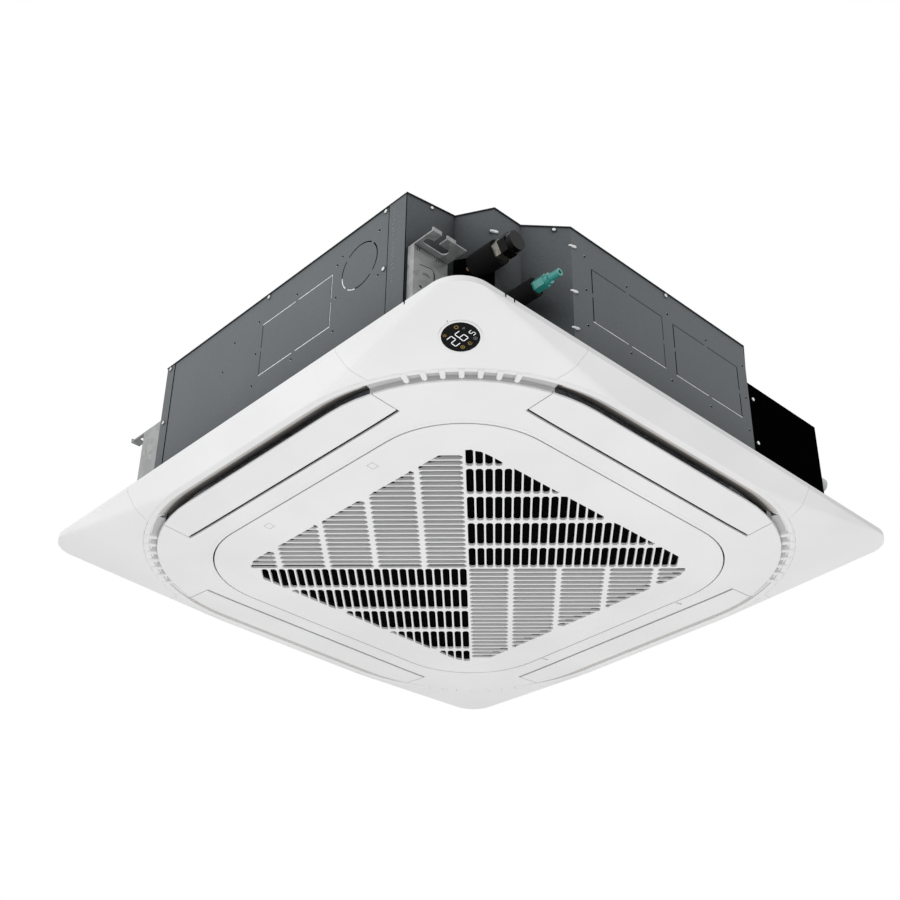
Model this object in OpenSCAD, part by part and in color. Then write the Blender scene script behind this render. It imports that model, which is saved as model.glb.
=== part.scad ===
// Four-way ceiling cassette air conditioner, hung from four slotted brackets.
// Sizes are in millimetres. The origin lies midway between the four hanger slots on the underside
// of the hanger tabs. The ceiling surface lies hanger_rise below it, and +Z is up.

/* [Casing] */
// Side of the square sheet-metal casing
casing_side = 840; // [832:1:846]
// Height of the casing
casing_height = 246; // [240:1:288]
// Height of the casing's lower edge above the ceiling surface
casing_lift = 14; // [10:1:18]
// Thickness of the casing sheet
sheet = 1.2; // [0.8:0.1:1.6]
// Width of the lip folded in round the casing's lower edge
lip_width = 16; // [12:1:20]
// How far the top plate stands out past the walls
top_overhang = 1.5; // [0.5:0.1:3]
// Depth of a front corner bay, from the front wall
bay_depth = 109; // [104:1:114]
// Width of a corner bay, from the side wall
bay_width = 81; // [76:1:86]
// How far the bay's hanger wall leans over its width
bay_lean = 11; // [4:1:12]
// Distance of the pipe wall's outer end from the side wall
pipe_wall_start = 109; // [104:1:116]
// Distance of the pipe wall's inner end from the side wall
pipe_wall_end = 161; // [156:1:166]
// Depth of the pipe wall behind the front wall
pipe_wall_inset = 47; // [42:1:52]
// Distance of the front wall's end from the left side wall
bay_end = 215; // [210:1:220]
// Distance of the front wall's end from the right side wall
right_bay_end = 223; // [218:1:228]
// How much deeper the two back corner bays are
back_bay_extra = 42; // [36:1:46]
// Width of the sheet strips that lap the wall joints
strip_width = 20; // [18:1:30]
// Width of the wider lap strip beside the pipe corner
pipe_strip_width = 36; // [30:1:42]
// Width of the cut lines round a knockout
cut_width = 2; // [1.5:0.1:2.5]
// Length of the sheet bridges that hold a knockout
bridge = 7; // [5:0.5:9]
// Height of a rectangular knockout
knock_height = 96; // [85:1:105]
// Width of a rectangular knockout
knock_width = 157; // [150:1:166]
// Height of the knockouts' lower edge above the ceiling surface
knock_lift = 112; // [100:1:118]
// Radius of the round fresh-air knockout
air_knock_r = 39; // [36:1:44]

/* [Hanger brackets] */
// Spacing of the hanger slots along X
hang_pitch_x = 780; // [770:1:790]
// Spacing of the hanger slots along Y
hang_pitch_y = 680; // [676:1:690]
// Height of the tab's underside above the ceiling surface
hanger_rise = 162; // [150:1:175]
// Thickness of the bracket sheet
bracket_sheet = 2.3; // [1.8:0.1:3]
// Width of a bracket
bracket_width = 62; // [58:1:66]
// How far the bracket's middle lies inside the slot's middle
bracket_shift = 5; // [3:0.5:7]
// Length of a hanger slot
hang_slot_length = 42; // [36:1:46]
// Width of a hanger slot
hang_slot_width = 13; // [11:0.5:14]
// Width of the slot's mouth
mouth_width = 10; // [8:0.5:12]
// How far the mouth lies from the slot's middle
mouth_shift = 5; // [3:0.5:7]
// Tab left outside the slot's middle line
tab_margin = 22; // [18:0.5:25]
// Height of the fingers turned up beside the mouth
finger_height = 7; // [5:0.5:9]
// Length of a finger beside the mouth
finger_length = 16; // [12:0.5:16]

/* [Refrigerant pipes] */
// Radius of the gas pipe
gas_r = 8; // [6.4:0.1:9.5]
// Distance of the gas pipe from the side wall
gas_inset = 95; // [92:0.5:98]
// Height of the gas pipe above the ceiling surface
gas_lift = 158; // [150:1:162]
// Distance of the gas pipe's end past the front wall
gas_end = 10; // [5:1:20]
// Radius of the gas pipe's foam sleeve
gas_sleeve_r = 19; // [16:0.5:20]
// Radius of the liquid pipe
liquid_r = 4.8; // [3.2:0.1:6.4]
// Distance of the liquid pipe from the side wall
liquid_inset = 141; // [138:0.5:144]
// Height of the liquid pipe above the ceiling surface
liquid_lift = 110; // [104:1:116]
// Distance of the liquid fitting's end past the front wall
liquid_end = 43; // [38:1:48]
// Radius of the liquid pipe's foam sleeve
liquid_sleeve_r = 14; // [11:0.5:15]
// Radius across the corners of the gas flare nut
gas_nut_r = 16.5; // [14:0.5:18]
// Length of the gas flare nut
gas_nut_length = 12; // [10:1:16]
// Length of the black cap on the gas flare nut
cap_length = 22; // [18:0.5:26]
// Radius across the corners of the liquid fitting
fitting_r = 10; // [9:0.5:13]
// Length of the liquid fitting's hexagon
fitting_hex_length = 20; // [16:0.5:22]
// Radius of the liquid fitting's nozzle
nozzle_r = 5.5; // [5:0.1:7]
// Length of the liquid fitting's nozzle
nozzle_length = 24; // [20:0.5:26]
// Wall of the nozzle round its bore
nozzle_wall = 2.5; // [1.5:0.1:2.7]
// Thickness of the black plate behind the gas pipe
pipe_plate = 3; // [2:0.5:4]

/* [Drain] */
// Height of the black drain cover above the casing's lower edge
cover_height = 176; // [160:1:182]
// Distance of the drain cover's end from the right side wall
cover_end = 44; // [36:1:50]
// Wall of the drain cover
cover_wall = 2; // [1.5:0.1:3]
// Outside radius of the drain outlet
drain_r = 13; // [11:0.5:16]
// Wall of the drain outlet
drain_wall = 2; // [1.5:0.1:3]
// Length of the drain outlet outside the cover
drain_length = 32; // [25:1:40]
// Radius of the drain pump
pump_r = 24; // [20:0.5:26]
// Height of the drain pump
pump_height = 80; // [60:1:100]
// Radius of the float
float_r = 11; // [9:0.5:12]
// Height of the float
float_height = 12; // [9:0.5:14]
// Radius of the float switch's stem
stem_r = 3; // [2:0.1:4]
// Travel of the float
float_travel = 10; // [7:0.5:12]

/* [Fan and coil] */
// Radius of the fan wheel
fan_r = 222; // [212:1:228]
// Height of the fan wheel's shroud edge above the drain pan
fan_lift = 34; // [30:1:40]
// Height of the fan wheel at its rim
fan_height = 108; // [96:1:114]
// Number of fan blades
blades = 7; // [5:1:9]
// Thickness of a fan blade
blade = 3; // [2:0.1:4]
// Thickness of the fan's plate and shroud
fan_wall = 3; // [2:0.1:4]
// Radius of the fan's inlet
inlet_r = 158; // [150:1:165]
// Radius of the fan motor
motor_r = 72; // [65:1:76]
// Height of the fan motor
motor_height = 74; // [66:1:80]
// Radius of the motor shaft
shaft_r = 6; // [5:0.5:8]
// Distance of the coil's inner face from the middle
coil_half = 252; // [248:1:256]
// Thickness of the coil
coil_depth = 38; // [30:1:42]
// Corner radius of the coil's outer face
coil_corner = 62; // [58:1:68]
// Distance of the coil's ends from the middle
coil_end = 198; // [190:1:205]
// Radius of the coil's copper tubes
tube_r = 4; // [3:0.1:4.8]
// Vertical pitch of the return bends
bend_pitch = 42; // [38:1:45]
// Height of the drain pan
pan_height = 47; // [42:1:52]
// Depth of the trough under the coil
trough_depth = 22; // [18:1:26]
// Thickness of the foam liner's walls
liner = 11; // [8:0.5:14]
// Half length of an outlet through the drain pan
outlet_half = 188; // [178:1:192]
// Width of an outlet through the drain pan
outlet_width = 48; // [42:1:50]

/* [Control box] */
// Length of the control box
box_length = 260; // [230:1:290]
// Width of the control box
box_width = 66; // [60:1:72]
// Height of the control box
box_height = 40; // [34:1:42]
// Wall of the control box
box_wall = 1.2; // [0.8:0.1:1.6]

/* [Panel] */
// Side of the square panel
panel_side = 950; // [946:1:960]
// Corner radius of the panel
panel_corner = 48; // [40:1:56]
// Height of the panel's outer edge
rim_height = 8; // [6:0.5:10]
// Wall of the panel mouldings
panel_wall = 3; // [2.5:0.1:3.5]
// Distance of the air slot's lip from the panel's edge
lip_inset = 29; // [26:0.5:33]
// Corner radius of the air slot's lip
lip_corner = 297; // [290:1:304]
// Depth of the lip below the ceiling surface
lip_drop = 35; // [32:0.5:38]
// Width of the flat land round the lip
lip_land = 3; // [2:0.5:4]
// Width of the open air slot round the centre section
ring_width = 27.5; // [26:0.5:29]
// How far the curved diffuser wall runs in from the lip
diffuser_run = 30; // [28:0.5:32]
// Corner radius of the centre section
centre_corner = 255; // [248:1:262]
// Depth of the centre section's outer edge below the ceiling surface
centre_drop = 40; // [38:0.5:42]
// Depth of the grille seam below the ceiling surface
seam_drop = 47; // [45.5:0.5:49]
// Distance of the corner covers' seam from the panel's middle at the panel's edge
cover_seam_rim = 243; // [238:1:250]
// Distance of the corner covers' seam from the panel's middle at the lip
cover_seam_lip = 250; // [244:1:256]
// Number of ribs in a corner pocket
ribs = 7; // [5:1:9]
// Angle between neighbouring ribs
rib_angle = 5; // [4:0.5:6]
// Thickness of a rib
rib = 2.2; // [1.5:0.1:3]

/* [Air flaps] */
// Half length of a flap's opening
flap_half = 240; // [234:1:244]
// Width of a flap's opening, from the centre section's outer edge
flap_band = 60.3; // [58:0.1:62]
// Open gap along a flap's inner edge
flap_gap = 5; // [4.6:0.1:5.4]
// Gap at a flap's ends
flap_end_gap = 1.5; // [1:0.1:2.2]
// Distance of a flap's pivot from its inner edge
pivot_inset = 8; // [7.6:0.1:8.4]
// Depth of a flap's pivot below the ceiling surface
pivot_drop = 30; // [29:0.5:31]
// Radius of a flap's pin
pin_r = 2.5; // [2:0.1:2.9]
// Radius of a flap motor
flap_motor_r = 14; // [12:0.5:15]
// Length of a flap motor
flap_motor_length = 19; // [15:0.5:21]

/* [Intake grille] */
// Side of the intake grille
grille_side = 648; // [642:1:650]
// Corner radius of the intake grille
grille_corner = 147; // [140:1:154]
// Gap round the intake grille
grille_gap = 2.3; // [2:0.1:2.6]
// Thickness of the grille and of its bars
grille_wall = 4; // [3.5:0.1:4.4]
// Depth of the grille's flat middle below the ceiling surface
grille_drop = 51; // [50:0.5:53]
// Width of the sloping band round the flat middle
band_width = 62; // [58:1:64]
// Corner radius of the flat middle
flat_corner = 60; // [54:1:66]
// Distance of the slot field's edge from the grille's edge
field_inset = 69; // [66:1:74]
// Corner radius of the slot field
field_corner = 52; // [46:1:58]
// Width of an intake slot
slot_width = 10.8; // [10:0.1:11.4]
// Pitch of the slots within a row
slot_pitch = 13.6; // [13:0.1:14.2]
// Pitch of the rows of slots
row_pitch = 75.5; // [74:0.5:77]
// Length of a slot
slot_length = 68; // [64:0.5:70]
// Distance of a quarter's first slot from its side
slot_margin = 2; // [1:0.1:3]
// Distance of the grille's hinge line outside its edge
hinge_outset = 12; // [11.5:0.1:12.5]
// Height of the grille's hinge line above the grille seam
hinge_rise = 6; // [5.8:0.1:6.2]
// Distance of a hinge from the grille's middle
hinge_reach = 150; // [130:1:165]
// Radius of a grille hinge pin
hinge_pin_r = 2; // [1.5:0.1:2.4]
// Distance of a latch from the grille's middle
latch_reach = 118; // [105:1:130]
// Distance of a latch from the grille's edge
latch_inset = 14; // [13:0.5:15]
// Radius of a latch plunger
plunger_r = 4; // [3:0.1:5]
// Travel of a latch plunger
plunger_travel = 4; // [3:0.5:5]
// Width of the filter's frame
filter_band = 12; // [9:0.5:15]
// Height of the filter's frame
filter_height = 5; // [4:0.5:6]
// Thickness of the filter's mesh
mesh = 0.8; // [0.6:0.1:1.2]

/* [Display] */
// Radius of the display's white ring
display_r = 28; // [26:0.5:30]
// Width of the display's white ring
display_ring = 1.5; // [1.2:0.1:2.5]
// Distance of the display's middle from the panel's middle, along X and along Y
display_place = 397; // [392:1:402]
// Thickness of the display's lens
lens = 2.5; // [2:0.1:3.5]

/* [Fits] */
// Radial clearance of a running pin in its bore
running_fit = 0.06; // [0.02:0.01:0.1]
// Clearance between separate mouldings
seam = 0.4; // [0.3:0.05:0.6]
// Clearance of a soft piece from its neighbours
soft_fit = 0.3; // [0.2:0.05:0.4]

/* [Hidden] */
$fn = 96;
// Overrun of every cut past the face it cuts
over = 1;
// Bite of one form into the next where they are fused
bite = 0.5;
half = casing_side / 2;
panel_half = panel_side / 2;
lip_half = panel_half - lip_inset;
centre_half = lip_half - ring_width;
grille_half = grille_side / 2;
opening_half = grille_half + grille_gap;
opening_corner = grille_corner + grille_gap;
casing_top = casing_lift + casing_height;
pan_base = casing_lift + sheet;
pan_top = pan_base + pan_height;
white = [0.93, 0.93, 0.92];
grey = [0.3, 0.33, 0.35];
zinc = [0.75, 0.77, 0.78];
black = [0.05, 0.05, 0.05];
foam = [0.85, 0.88, 0.92];
copper = [0.72, 0.42, 0.25];

// A rounded square as points, with steps points to each corner
function rounded(h, r, steps = 16) = [for (k = [0:3], i = [0:steps])
    let (a = 90 * k + 90 * i / steps, c = 90 * k + 45)
    [(h - r) * sign(cos(c)) + r * cos(a), (h - r) * sign(sin(c)) + r * sin(a)]];
function back(list) = [for (i = [len(list) - 1:-1:0]) list[i]];
function flip(list, x, y) = [for (p = list) [x * p[0], y * p[1]]];

module at_ceiling() {
    translate([0, 0, -hanger_rise]) children();
}

module slab(h, r, low, high) {
    translate([0, 0, low]) linear_extrude(high - low) polygon(rounded(h, r));
}

module four() {
    for (k = [0:3]) rotate(90 * k) children();
}

// Casing outline
function bay(end, extra) = [
    [half, half - bay_depth - extra],
    [half - bay_width, half - bay_depth + bay_lean - extra],
    [half - pipe_wall_start, half - pipe_wall_inset - extra],
    [half - pipe_wall_end, half - pipe_wall_inset],
    [half - end, half]];
// The drain corner has one slanting wall in place of the pipe corner's two
drain_bay = [for (i = [0, 1, 4]) bay(right_bay_end, 0)[i]];
casing_outline = concat(flip(bay(bay_end, 0), -1, -1), back(flip(drain_bay, 1, -1)),
    bay(bay_end, back_bay_extra), back(flip(bay(bay_end, back_bay_extra), -1, 1)));

module casing_plan(inset = 0) {
    offset(delta = -inset) polygon(casing_outline);
}

module casing_solid(low, high, inset = 0) {
    translate([0, 0, low]) linear_extrude(high - low) casing_plan(inset);
}

// Cut lines of a rectangular knockout in the plane of a wall, broken by a bridge on each side
module knock_lines(w, h) {
    difference() {
        square([w, h], center = true);
        square([w - 2 * cut_width, h - 2 * cut_width], center = true);
        square([w + over, bridge], center = true);
        square([bridge, h + over], center = true);
    }
}

module round_knock_lines(r) {
    difference() {
        circle(r);
        circle(r - cut_width);
        rotate(45) square([2 * r + over, bridge], center = true);
        rotate(-45) square([2 * r + over, bridge], center = true);
    }
}

knock_z = knock_lift + knock_height / 2;
knock_shift = knock_width / 2 + bridge + 2.5 * cut_width;
front_knock_x = bridge * 0.7;
left_knock_y = bridge - knock_width / 2;
air_knock_y = left_knock_y - knock_width / 2 - air_knock_r - 3.5 * bridge;
air_knock_z = knock_z + bridge * 4;
left_wall_end = half - bay_depth - back_bay_extra;

module front_cut(x, z) {
    translate([x, over - half + sheet, z]) rotate([90, 0, 0])
        linear_extrude(sheet + 2 * over) children();
}

module side_cut(y, z) {
    translate([-half - over, y, z]) rotate([90, 0, 90])
        linear_extrude(sheet + 2 * over) children();
}

module casing_shell() {
    color(grey) at_ceiling() {
        difference() {
            casing_solid(casing_lift, casing_top);
            casing_solid(pan_base, casing_top + over, sheet);
            casing_solid(casing_lift - over, casing_top, sheet + lip_width);
            for (s = [-1, 1]) front_cut(front_knock_x + s * knock_shift, knock_z)
                knock_lines(knock_width, knock_height);
            side_cut(left_knock_y, knock_z) knock_lines(knock_width + bridge, knock_height);
            side_cut(air_knock_y, air_knock_z) round_knock_lines(air_knock_r);
            along_pipe(gas_x, gas_lift, coil_end, half, gas_r + pipe_plate);
            along_pipe(liquid_x, liquid_lift, coil_end, half, liquid_r + pipe_plate);
        }
        // Lap strips over the wall joints
        translate([-half - sheet / 2, bay_depth - half, casing_lift])
            cube([sheet, pipe_strip_width, casing_height]);
        translate([-half - sheet / 2, left_wall_end - strip_width, casing_lift])
            cube([sheet, strip_width, casing_height]);
    }
}

module top_plate() {
    color(grey) at_ceiling() casing_solid(casing_top, casing_top + sheet, -top_overhang);
}

screw_head_r = sheet * 2.5;
screw_head_h = sheet * 1.5;
strip_face = half + sheet / 2;
screw_top = casing_top - 2 * screw_head_r;
screw_mid = (casing_lift + casing_top) / 2 + 4 * screw_head_r;

module screw_head() {
    cylinder(h = screw_head_h, r = screw_head_r, $fn = 24);
}

module front_screw(x, z, face = half) {
    translate([x, -face, z]) rotate([90, 0, 0]) screw_head();
}

module side_screw(y, z, face = half) {
    translate([-face, y, z]) rotate([0, -90, 0]) screw_head();
}

module casing_screws() {
    near = bay_depth - half + pipe_strip_width + 2.5 * screw_head_r;
    far = left_wall_end - strip_width / 2;
    color(zinc) at_ceiling() {
        for (z = [screw_top, screw_mid]) {
            side_screw(near, z);
            side_screw(far, z, strip_face);
        }
        side_screw(0, screw_top);
        front_screw(front_knock_x, screw_top);
        // Two screws hold the drain cover
        for (share = [0.38, 0.84])
            front_screw(half - right_bay_end + 3 * screw_head_r, casing_lift + cover_height * share);
    }
}

// Hanger bracket for the corner at minus X and minus Y, cut back to the casing's wall
plate_y = half - bay_depth + bay_lean;
leg_end = half - bay_depth - back_bay_extra - over;
bracket_x = hang_pitch_x / 2 - bracket_shift;
tab_edge = hang_pitch_y / 2 + tab_margin;

module hanger_bracket(x, y) {
    side = bracket_width / 2;
    low = casing_lift - hanger_rise;
    mouth_x = hang_pitch_x / 2 + mouth_shift - mouth_width / 2;
    color(zinc) difference() {
        mirror([x > 0 ? 0 : 1, 0, 0]) mirror([0, y > 0 ? 0 : 1, 0]) {
            translate([bracket_x - side, plate_y, low])
                cube([bracket_width, bracket_sheet, bracket_sheet - low]);
            for (s = [bracket_x - side, bracket_x + side - bracket_sheet]) translate([s, leg_end, low])
                cube([bracket_sheet, plate_y - leg_end + bite, bracket_sheet - low]);
            difference() {
                translate([bracket_x - side, plate_y, 0])
                    cube([bracket_width, tab_edge - plate_y, bracket_sheet]);
                hanger_slot();
                translate([mouth_x, hang_pitch_y / 2, -over])
                    cube([mouth_width, tab_margin + over, bracket_sheet + 2 * over]);
            }
            for (s = [mouth_x - finger_length, mouth_x + mouth_width])
                translate([s, tab_edge - bracket_sheet, 0])
                    cube([finger_length, bracket_sheet, finger_height]);
        }
        at_ceiling() casing_solid(casing_lift - over, casing_top + over);
    }
}

module hanger_slot() {
    slot_r = hang_slot_width / 2;
    straight = hang_slot_length - hang_slot_width;
    high = bracket_sheet + 2 * over;
    translate([hang_pitch_x / 2, hang_pitch_y / 2, -over]) {
        for (s = [-1, 1]) translate([s * straight / 2, 0, 0]) cylinder(h = high, r = slot_r);
        translate([-straight / 2, -slot_r, 0]) cube([straight, hang_slot_width, high]);
    }
}

module hanger_bracket_1() {
    hanger_bracket(-1, -1);
}

module hanger_bracket_2() {
    hanger_bracket(1, -1);
}

module hanger_bracket_3() {
    hanger_bracket(1, 1);
}

module hanger_bracket_4() {
    hanger_bracket(-1, 1);
}

// Drain pan and foam liner
coil_outer = coil_half + coil_depth;
trough_gap = liner / 2;
outlet_in = centre_half - flap_band - flap_gap / 2;
pan_hole_r = inlet_r + coil_depth;
coil_base = pan_top - trough_depth;

module outlet_holes(low, high) {
    four() translate([outlet_in, -outlet_half, low])
        cube([outlet_width, 2 * outlet_half, high - low]);
}

module drain_pan() {
    inner_r = coil_corner - coil_depth - trough_gap;
    color(foam) at_ceiling() difference() {
        casing_solid(pan_base, pan_top, sheet);
        translate([0, 0, pan_base - over]) cylinder(h = pan_height + 2 * over, r = pan_hole_r);
        outlet_holes(pan_base - over, pan_top + over);
        difference() {
            slab(coil_outer + trough_gap, coil_corner + trough_gap, coil_base, pan_top + over);
            slab(coil_half - trough_gap, inner_r, coil_base - over, pan_top + 2 * over);
        }
        translate([float_x, pump_y, coil_base])
            cylinder(h = trough_depth + over, r = float_r + trough_gap);
    }
}

module foam_liner() {
    // The pipe corner is left free of foam for the pipes
    corner = half - coil_end;
    inner_top = casing_top - liner;
    color(foam) at_ceiling() difference() {
        casing_solid(pan_top, casing_top, sheet);
        casing_solid(pan_top - over, inner_top, sheet + liner);
        translate([0, 0, inner_top - over]) cylinder(h = liner + 2 * over, r = motor_r + liner);
        translate([-half, -half, pan_top - over]) cube([corner, corner, inner_top - pan_top + over]);
    }
}

// Coil: a finned ring open at the pipe corner
fin_top = casing_top - liner;
module coil_ring(grow, low, high) {
    difference() {
        slab(coil_outer + grow, coil_corner + grow, low, high);
        slab(coil_half - grow, coil_corner - coil_depth - grow, low - over, high + over);
        translate([-half, -half, low - over])
            cube([half - coil_end, half - coil_end, high - low + 2 * over]);
    }
}

module fin_pack() {
    color(zinc) at_ceiling() coil_ring(0, coil_base, fin_top);
}

end_plate_wide = liner + sheet;
module coil_end_plates() {
    low = pan_top;
    high = fin_top - pan_top;
    gas_side = half - gas_inset + gas_r + pipe_plate;
    color(zinc) at_ceiling() {
        difference() {
            translate([-gas_side, -coil_end - sheet, low])
                cube([gas_side - coil_half + trough_gap, sheet, high]);
            translate([gas_inset - half, -coil_end - over - sheet, gas_lift]) rotate([-90, 0, 0])
                cylinder(h = sheet + 2 * over, r = gas_r);
            translate([liquid_inset - half, -coil_end - over - sheet, liquid_lift]) rotate([-90, 0, 0])
                cylinder(h = sheet + 2 * over, r = liquid_r);
        }
        translate([-coil_end - sheet, -coil_outer - trough_gap, low])
            cube([sheet, coil_depth + 2 * trough_gap, high]);
    }
}

// Copper return bends on the two end plates
bend_r = coil_depth / 4;
bend_count = floor((fin_top - coil_base - bend_pitch) / bend_pitch);
module bend() {
    rotate_extrude(angle = 180, $fn = 48) translate([bend_r, 0]) circle(tube_r, $fn = 24);
}

module return_bends() {
    middle = coil_half + coil_depth / 2;
    color(copper) at_ceiling() for (i = [0:bend_count - 1]) {
        z = coil_base + bend_pitch * (i + 0.3);
        translate([-middle + bend_r / 2, -coil_end - sheet, z]) rotate([0, 0, 180]) bend();
        translate([-coil_end - sheet, -middle, z]) rotate([0, 0, 90]) bend();
    }
}

// Refrigerant pipes, sleeves and fittings
gas_x = gas_inset - half;
liquid_x = liquid_inset - half;
gas_tip = half + gas_end;
liquid_tip = half + liquid_end;
sleeve_end = gas_tip - gas_nut_length - cap_length;
liquid_sleeve_end = liquid_tip - nozzle_length - fitting_hex_length;
// Where the black plate's front lies on the gas pipe's line
plate_slope = (pipe_wall_start - bay_width) / (bay_depth - bay_lean - pipe_wall_inset);
gas_wall = half - bay_depth + bay_lean + (gas_inset - bay_width) / plate_slope;
pipe_wall = half - pipe_wall_inset;

module along_pipe(x, z, from, to, r) {
    translate([x, -from, z]) rotate([90, 0, 0]) cylinder(h = to - from, r = r);
}

module gas_pipe() {
    color(copper) at_ceiling()
        along_pipe(gas_x, gas_lift, coil_end, sleeve_end + gas_nut_length / 2, gas_r);
}

module liquid_pipe() {
    tip = liquid_sleeve_end + fitting_hex_length / 2;
    color(copper) at_ceiling() along_pipe(liquid_x, liquid_lift, coil_end, tip, liquid_r);
}

module gas_sleeve() {
    color(black) at_ceiling() difference() {
        along_pipe(gas_x, gas_lift, gas_wall + pipe_plate, sleeve_end, gas_sleeve_r);
        along_pipe(gas_x, gas_lift, gas_wall - over, sleeve_end + over, gas_r);
        pipe_plate_solid(pipe_plate, 4 * gas_sleeve_r, 2 * gas_sleeve_r);
    }
}

module liquid_sleeve() {
    color(black) at_ceiling() difference() {
        along_pipe(liquid_x, liquid_lift, pipe_wall, liquid_sleeve_end, liquid_sleeve_r);
        along_pipe(liquid_x, liquid_lift, pipe_wall - over, liquid_sleeve_end + over, liquid_r);
    }
}

module gas_flare_nut() {
    color(zinc) at_ceiling() difference() {
        translate([gas_x, -sleeve_end, gas_lift]) rotate([90, 0, 0])
            cylinder(h = gas_nut_length, r = gas_nut_r, $fn = 6);
        along_pipe(gas_x, gas_lift, sleeve_end - over, sleeve_end + gas_nut_length / 2, gas_r);
    }
}

module gas_cap() {
    start = sleeve_end + gas_nut_length;
    color(black) at_ceiling() {
        translate([gas_x, -start, gas_lift]) rotate([90, 0, 0])
            cylinder(h = cap_length * 0.6, r = gas_nut_r * 1.08, $fn = 6);
        along_pipe(gas_x, gas_lift, start, gas_tip, gas_nut_r * 0.9);
    }
}

module liquid_fitting() {
    start = liquid_sleeve_end;
    hex_end = start + fitting_hex_length;
    neck_end = hex_end + fitting_hex_length * 0.3;
    color([0.1, 0.6, 0.6]) at_ceiling() difference() {
        union() {
            translate([liquid_x, -start, liquid_lift]) rotate([90, 0, 0])
                cylinder(h = fitting_hex_length, r = fitting_r, $fn = 6);
            along_pipe(liquid_x, liquid_lift, hex_end - bite, liquid_tip, nozzle_r);
            along_pipe(liquid_x, liquid_lift, hex_end - bite, neck_end, nozzle_r + nozzle_wall);
        }
        along_pipe(liquid_x, liquid_lift, start - over, start + fitting_hex_length / 2, liquid_r);
        along_pipe(liquid_x, liquid_lift, start, liquid_tip + over, nozzle_r - nozzle_wall);
    }
}

// The black plate lies on the slanting wall between the hanger bay and the pipe wall
module pipe_plate_solid(thick, more = 0, past = 0) {
    corner = flip(bay(bay_end, 0), -1, -1);
    from = corner[1];
    to = corner[2];
    run = to - from;
    high = gas_lift + gas_sleeve_r - casing_lift;
    translate([from[0], from[1], casing_lift]) rotate(atan2(run[1], run[0]))
        translate([-past, -thick, -past]) cube([norm(run) + 2 * past, thick + more, high + 2 * past]);
}

module pipe_plate_black() {
    color(black) at_ceiling() difference() {
        pipe_plate_solid(pipe_plate);
        along_pipe(gas_x, gas_lift, coil_end, gas_tip, gas_r);
        casing_solid(casing_lift, casing_top);
    }
}

// Drain side: black cover over the right corner bay, pump, float switch and outlet
cover_x = half - cover_end;
cover_outline = [[half - right_bay_end, -half], [cover_x, -half],
    [cover_x, pipe_wall_inset - half], [half - pipe_wall_end, pipe_wall_inset - half]];
outlet_z = casing_lift + cover_height / 2;
drain_y = -half + pipe_wall_inset / 2;

module drain_cover() {
    color(black) at_ceiling() difference() {
        translate([0, 0, casing_lift]) linear_extrude(cover_height) polygon(cover_outline);
        translate([0, 0, casing_lift - over]) linear_extrude(cover_height - cover_wall + over)
            offset(delta = -cover_wall) polygon(cover_outline);
        translate([cover_x - cover_wall - over, drain_y, outlet_z]) rotate([0, 90, 0])
            cylinder(h = cover_wall + 2 * over, r = drain_r + drain_wall + seam / 2);
        casing_solid(casing_lift, casing_top);
    }
}

module drain_outlet() {
    color([0.8, 0.8, 0.8]) at_ceiling() difference() {
        union() {
            // Collar in the cover's hole, which the hose stops against
            translate([cover_x - cover_wall - drain_wall, drain_y, outlet_z]) rotate([0, 90, 0])
                cylinder(h = cover_wall + 2 * drain_wall, r = drain_r + drain_wall);
            translate([cover_x, drain_y, outlet_z]) rotate([0, 90, 0])
                cylinder(h = drain_length, r = drain_r);
        }
        translate([cover_x, drain_y, outlet_z]) rotate([0, 90, 0])
            cylinder(h = drain_length + over, r = drain_r - drain_wall);
    }
}

pump_x = coil_outer - trough_gap / 2;
pump_y = trough_gap - half + bay_depth;
float_x = pump_x - pump_r - float_r - 3 * trough_gap;
stem_top = pan_top + pump_height / 2;

module drain_pump() {
    color([0.9, 0.9, 0.9]) at_ceiling() {
        translate([pump_x, pump_y, pan_top]) cylinder(h = pump_height * 0.6, r = pump_r);
        translate([pump_x, pump_y, pan_top]) cylinder(h = pump_height, r = pump_r * 0.7);
        translate([pump_x, pump_y, pan_top + pump_height * 0.45]) rotate([90, 0, 0])
            cylinder(h = pump_r + liner / 2, r = pump_r * 0.25);
    }
}

module float_switch() {
    arm = stem_r;
    color([0.9, 0.9, 0.9]) at_ceiling() {
        translate([float_x, pump_y, coil_base]) cylinder(h = stem_top - coil_base, r = stem_r);
        translate([float_x, pump_y - arm, stem_top - 2 * arm])
            cube([pump_x - pump_r - soft_fit - float_x, 2 * arm, 2 * arm]);
    }
}

float_base = coil_base + soft_fit;
module float_ring() {
    color([0.95, 0.8, 0.2]) at_ceiling() difference() {
        translate([float_x, pump_y, float_base]) cylinder(h = float_height, r = float_r);
        translate([float_x, pump_y, float_base - over])
            cylinder(h = float_height + 2 * over, r = stem_r + running_fit);
    }
}

// Fan, motor and inlet
fan_base = pan_top - fan_lift + 2 * trough_depth;
fan_top = fan_base + fan_height;
hub_drop = fan_height * 0.72;
motor_top = casing_top;
hub_r = motor_r + liner;
shaft_end = fan_top - hub_drop - 3 * shaft_r;

module fan_motor() {
    color([0.85, 0.85, 0.85]) at_ceiling() {
        translate([0, 0, motor_top - liner - motor_height]) cylinder(h = motor_height, r = motor_r);
        translate([0, 0, shaft_end])
            cylinder(h = motor_top - liner - motor_height - shaft_end + bite, r = shaft_r);
        for (a = [0:120:240]) rotate(a) translate([0, -shaft_r * 2, motor_top - liner])
            translate([0, 0, -sheet * 2]) cube([motor_r + liner / 2, 4 * shaft_r, sheet * 2]);
    }
}

module motor_bushes() {
    color(black) at_ceiling() for (a = [0:120:240]) rotate(a)
        translate([motor_r - liner / 2, 0, motor_top - liner]) cylinder(h = liner, r = shaft_r * 1.2);
}

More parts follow.
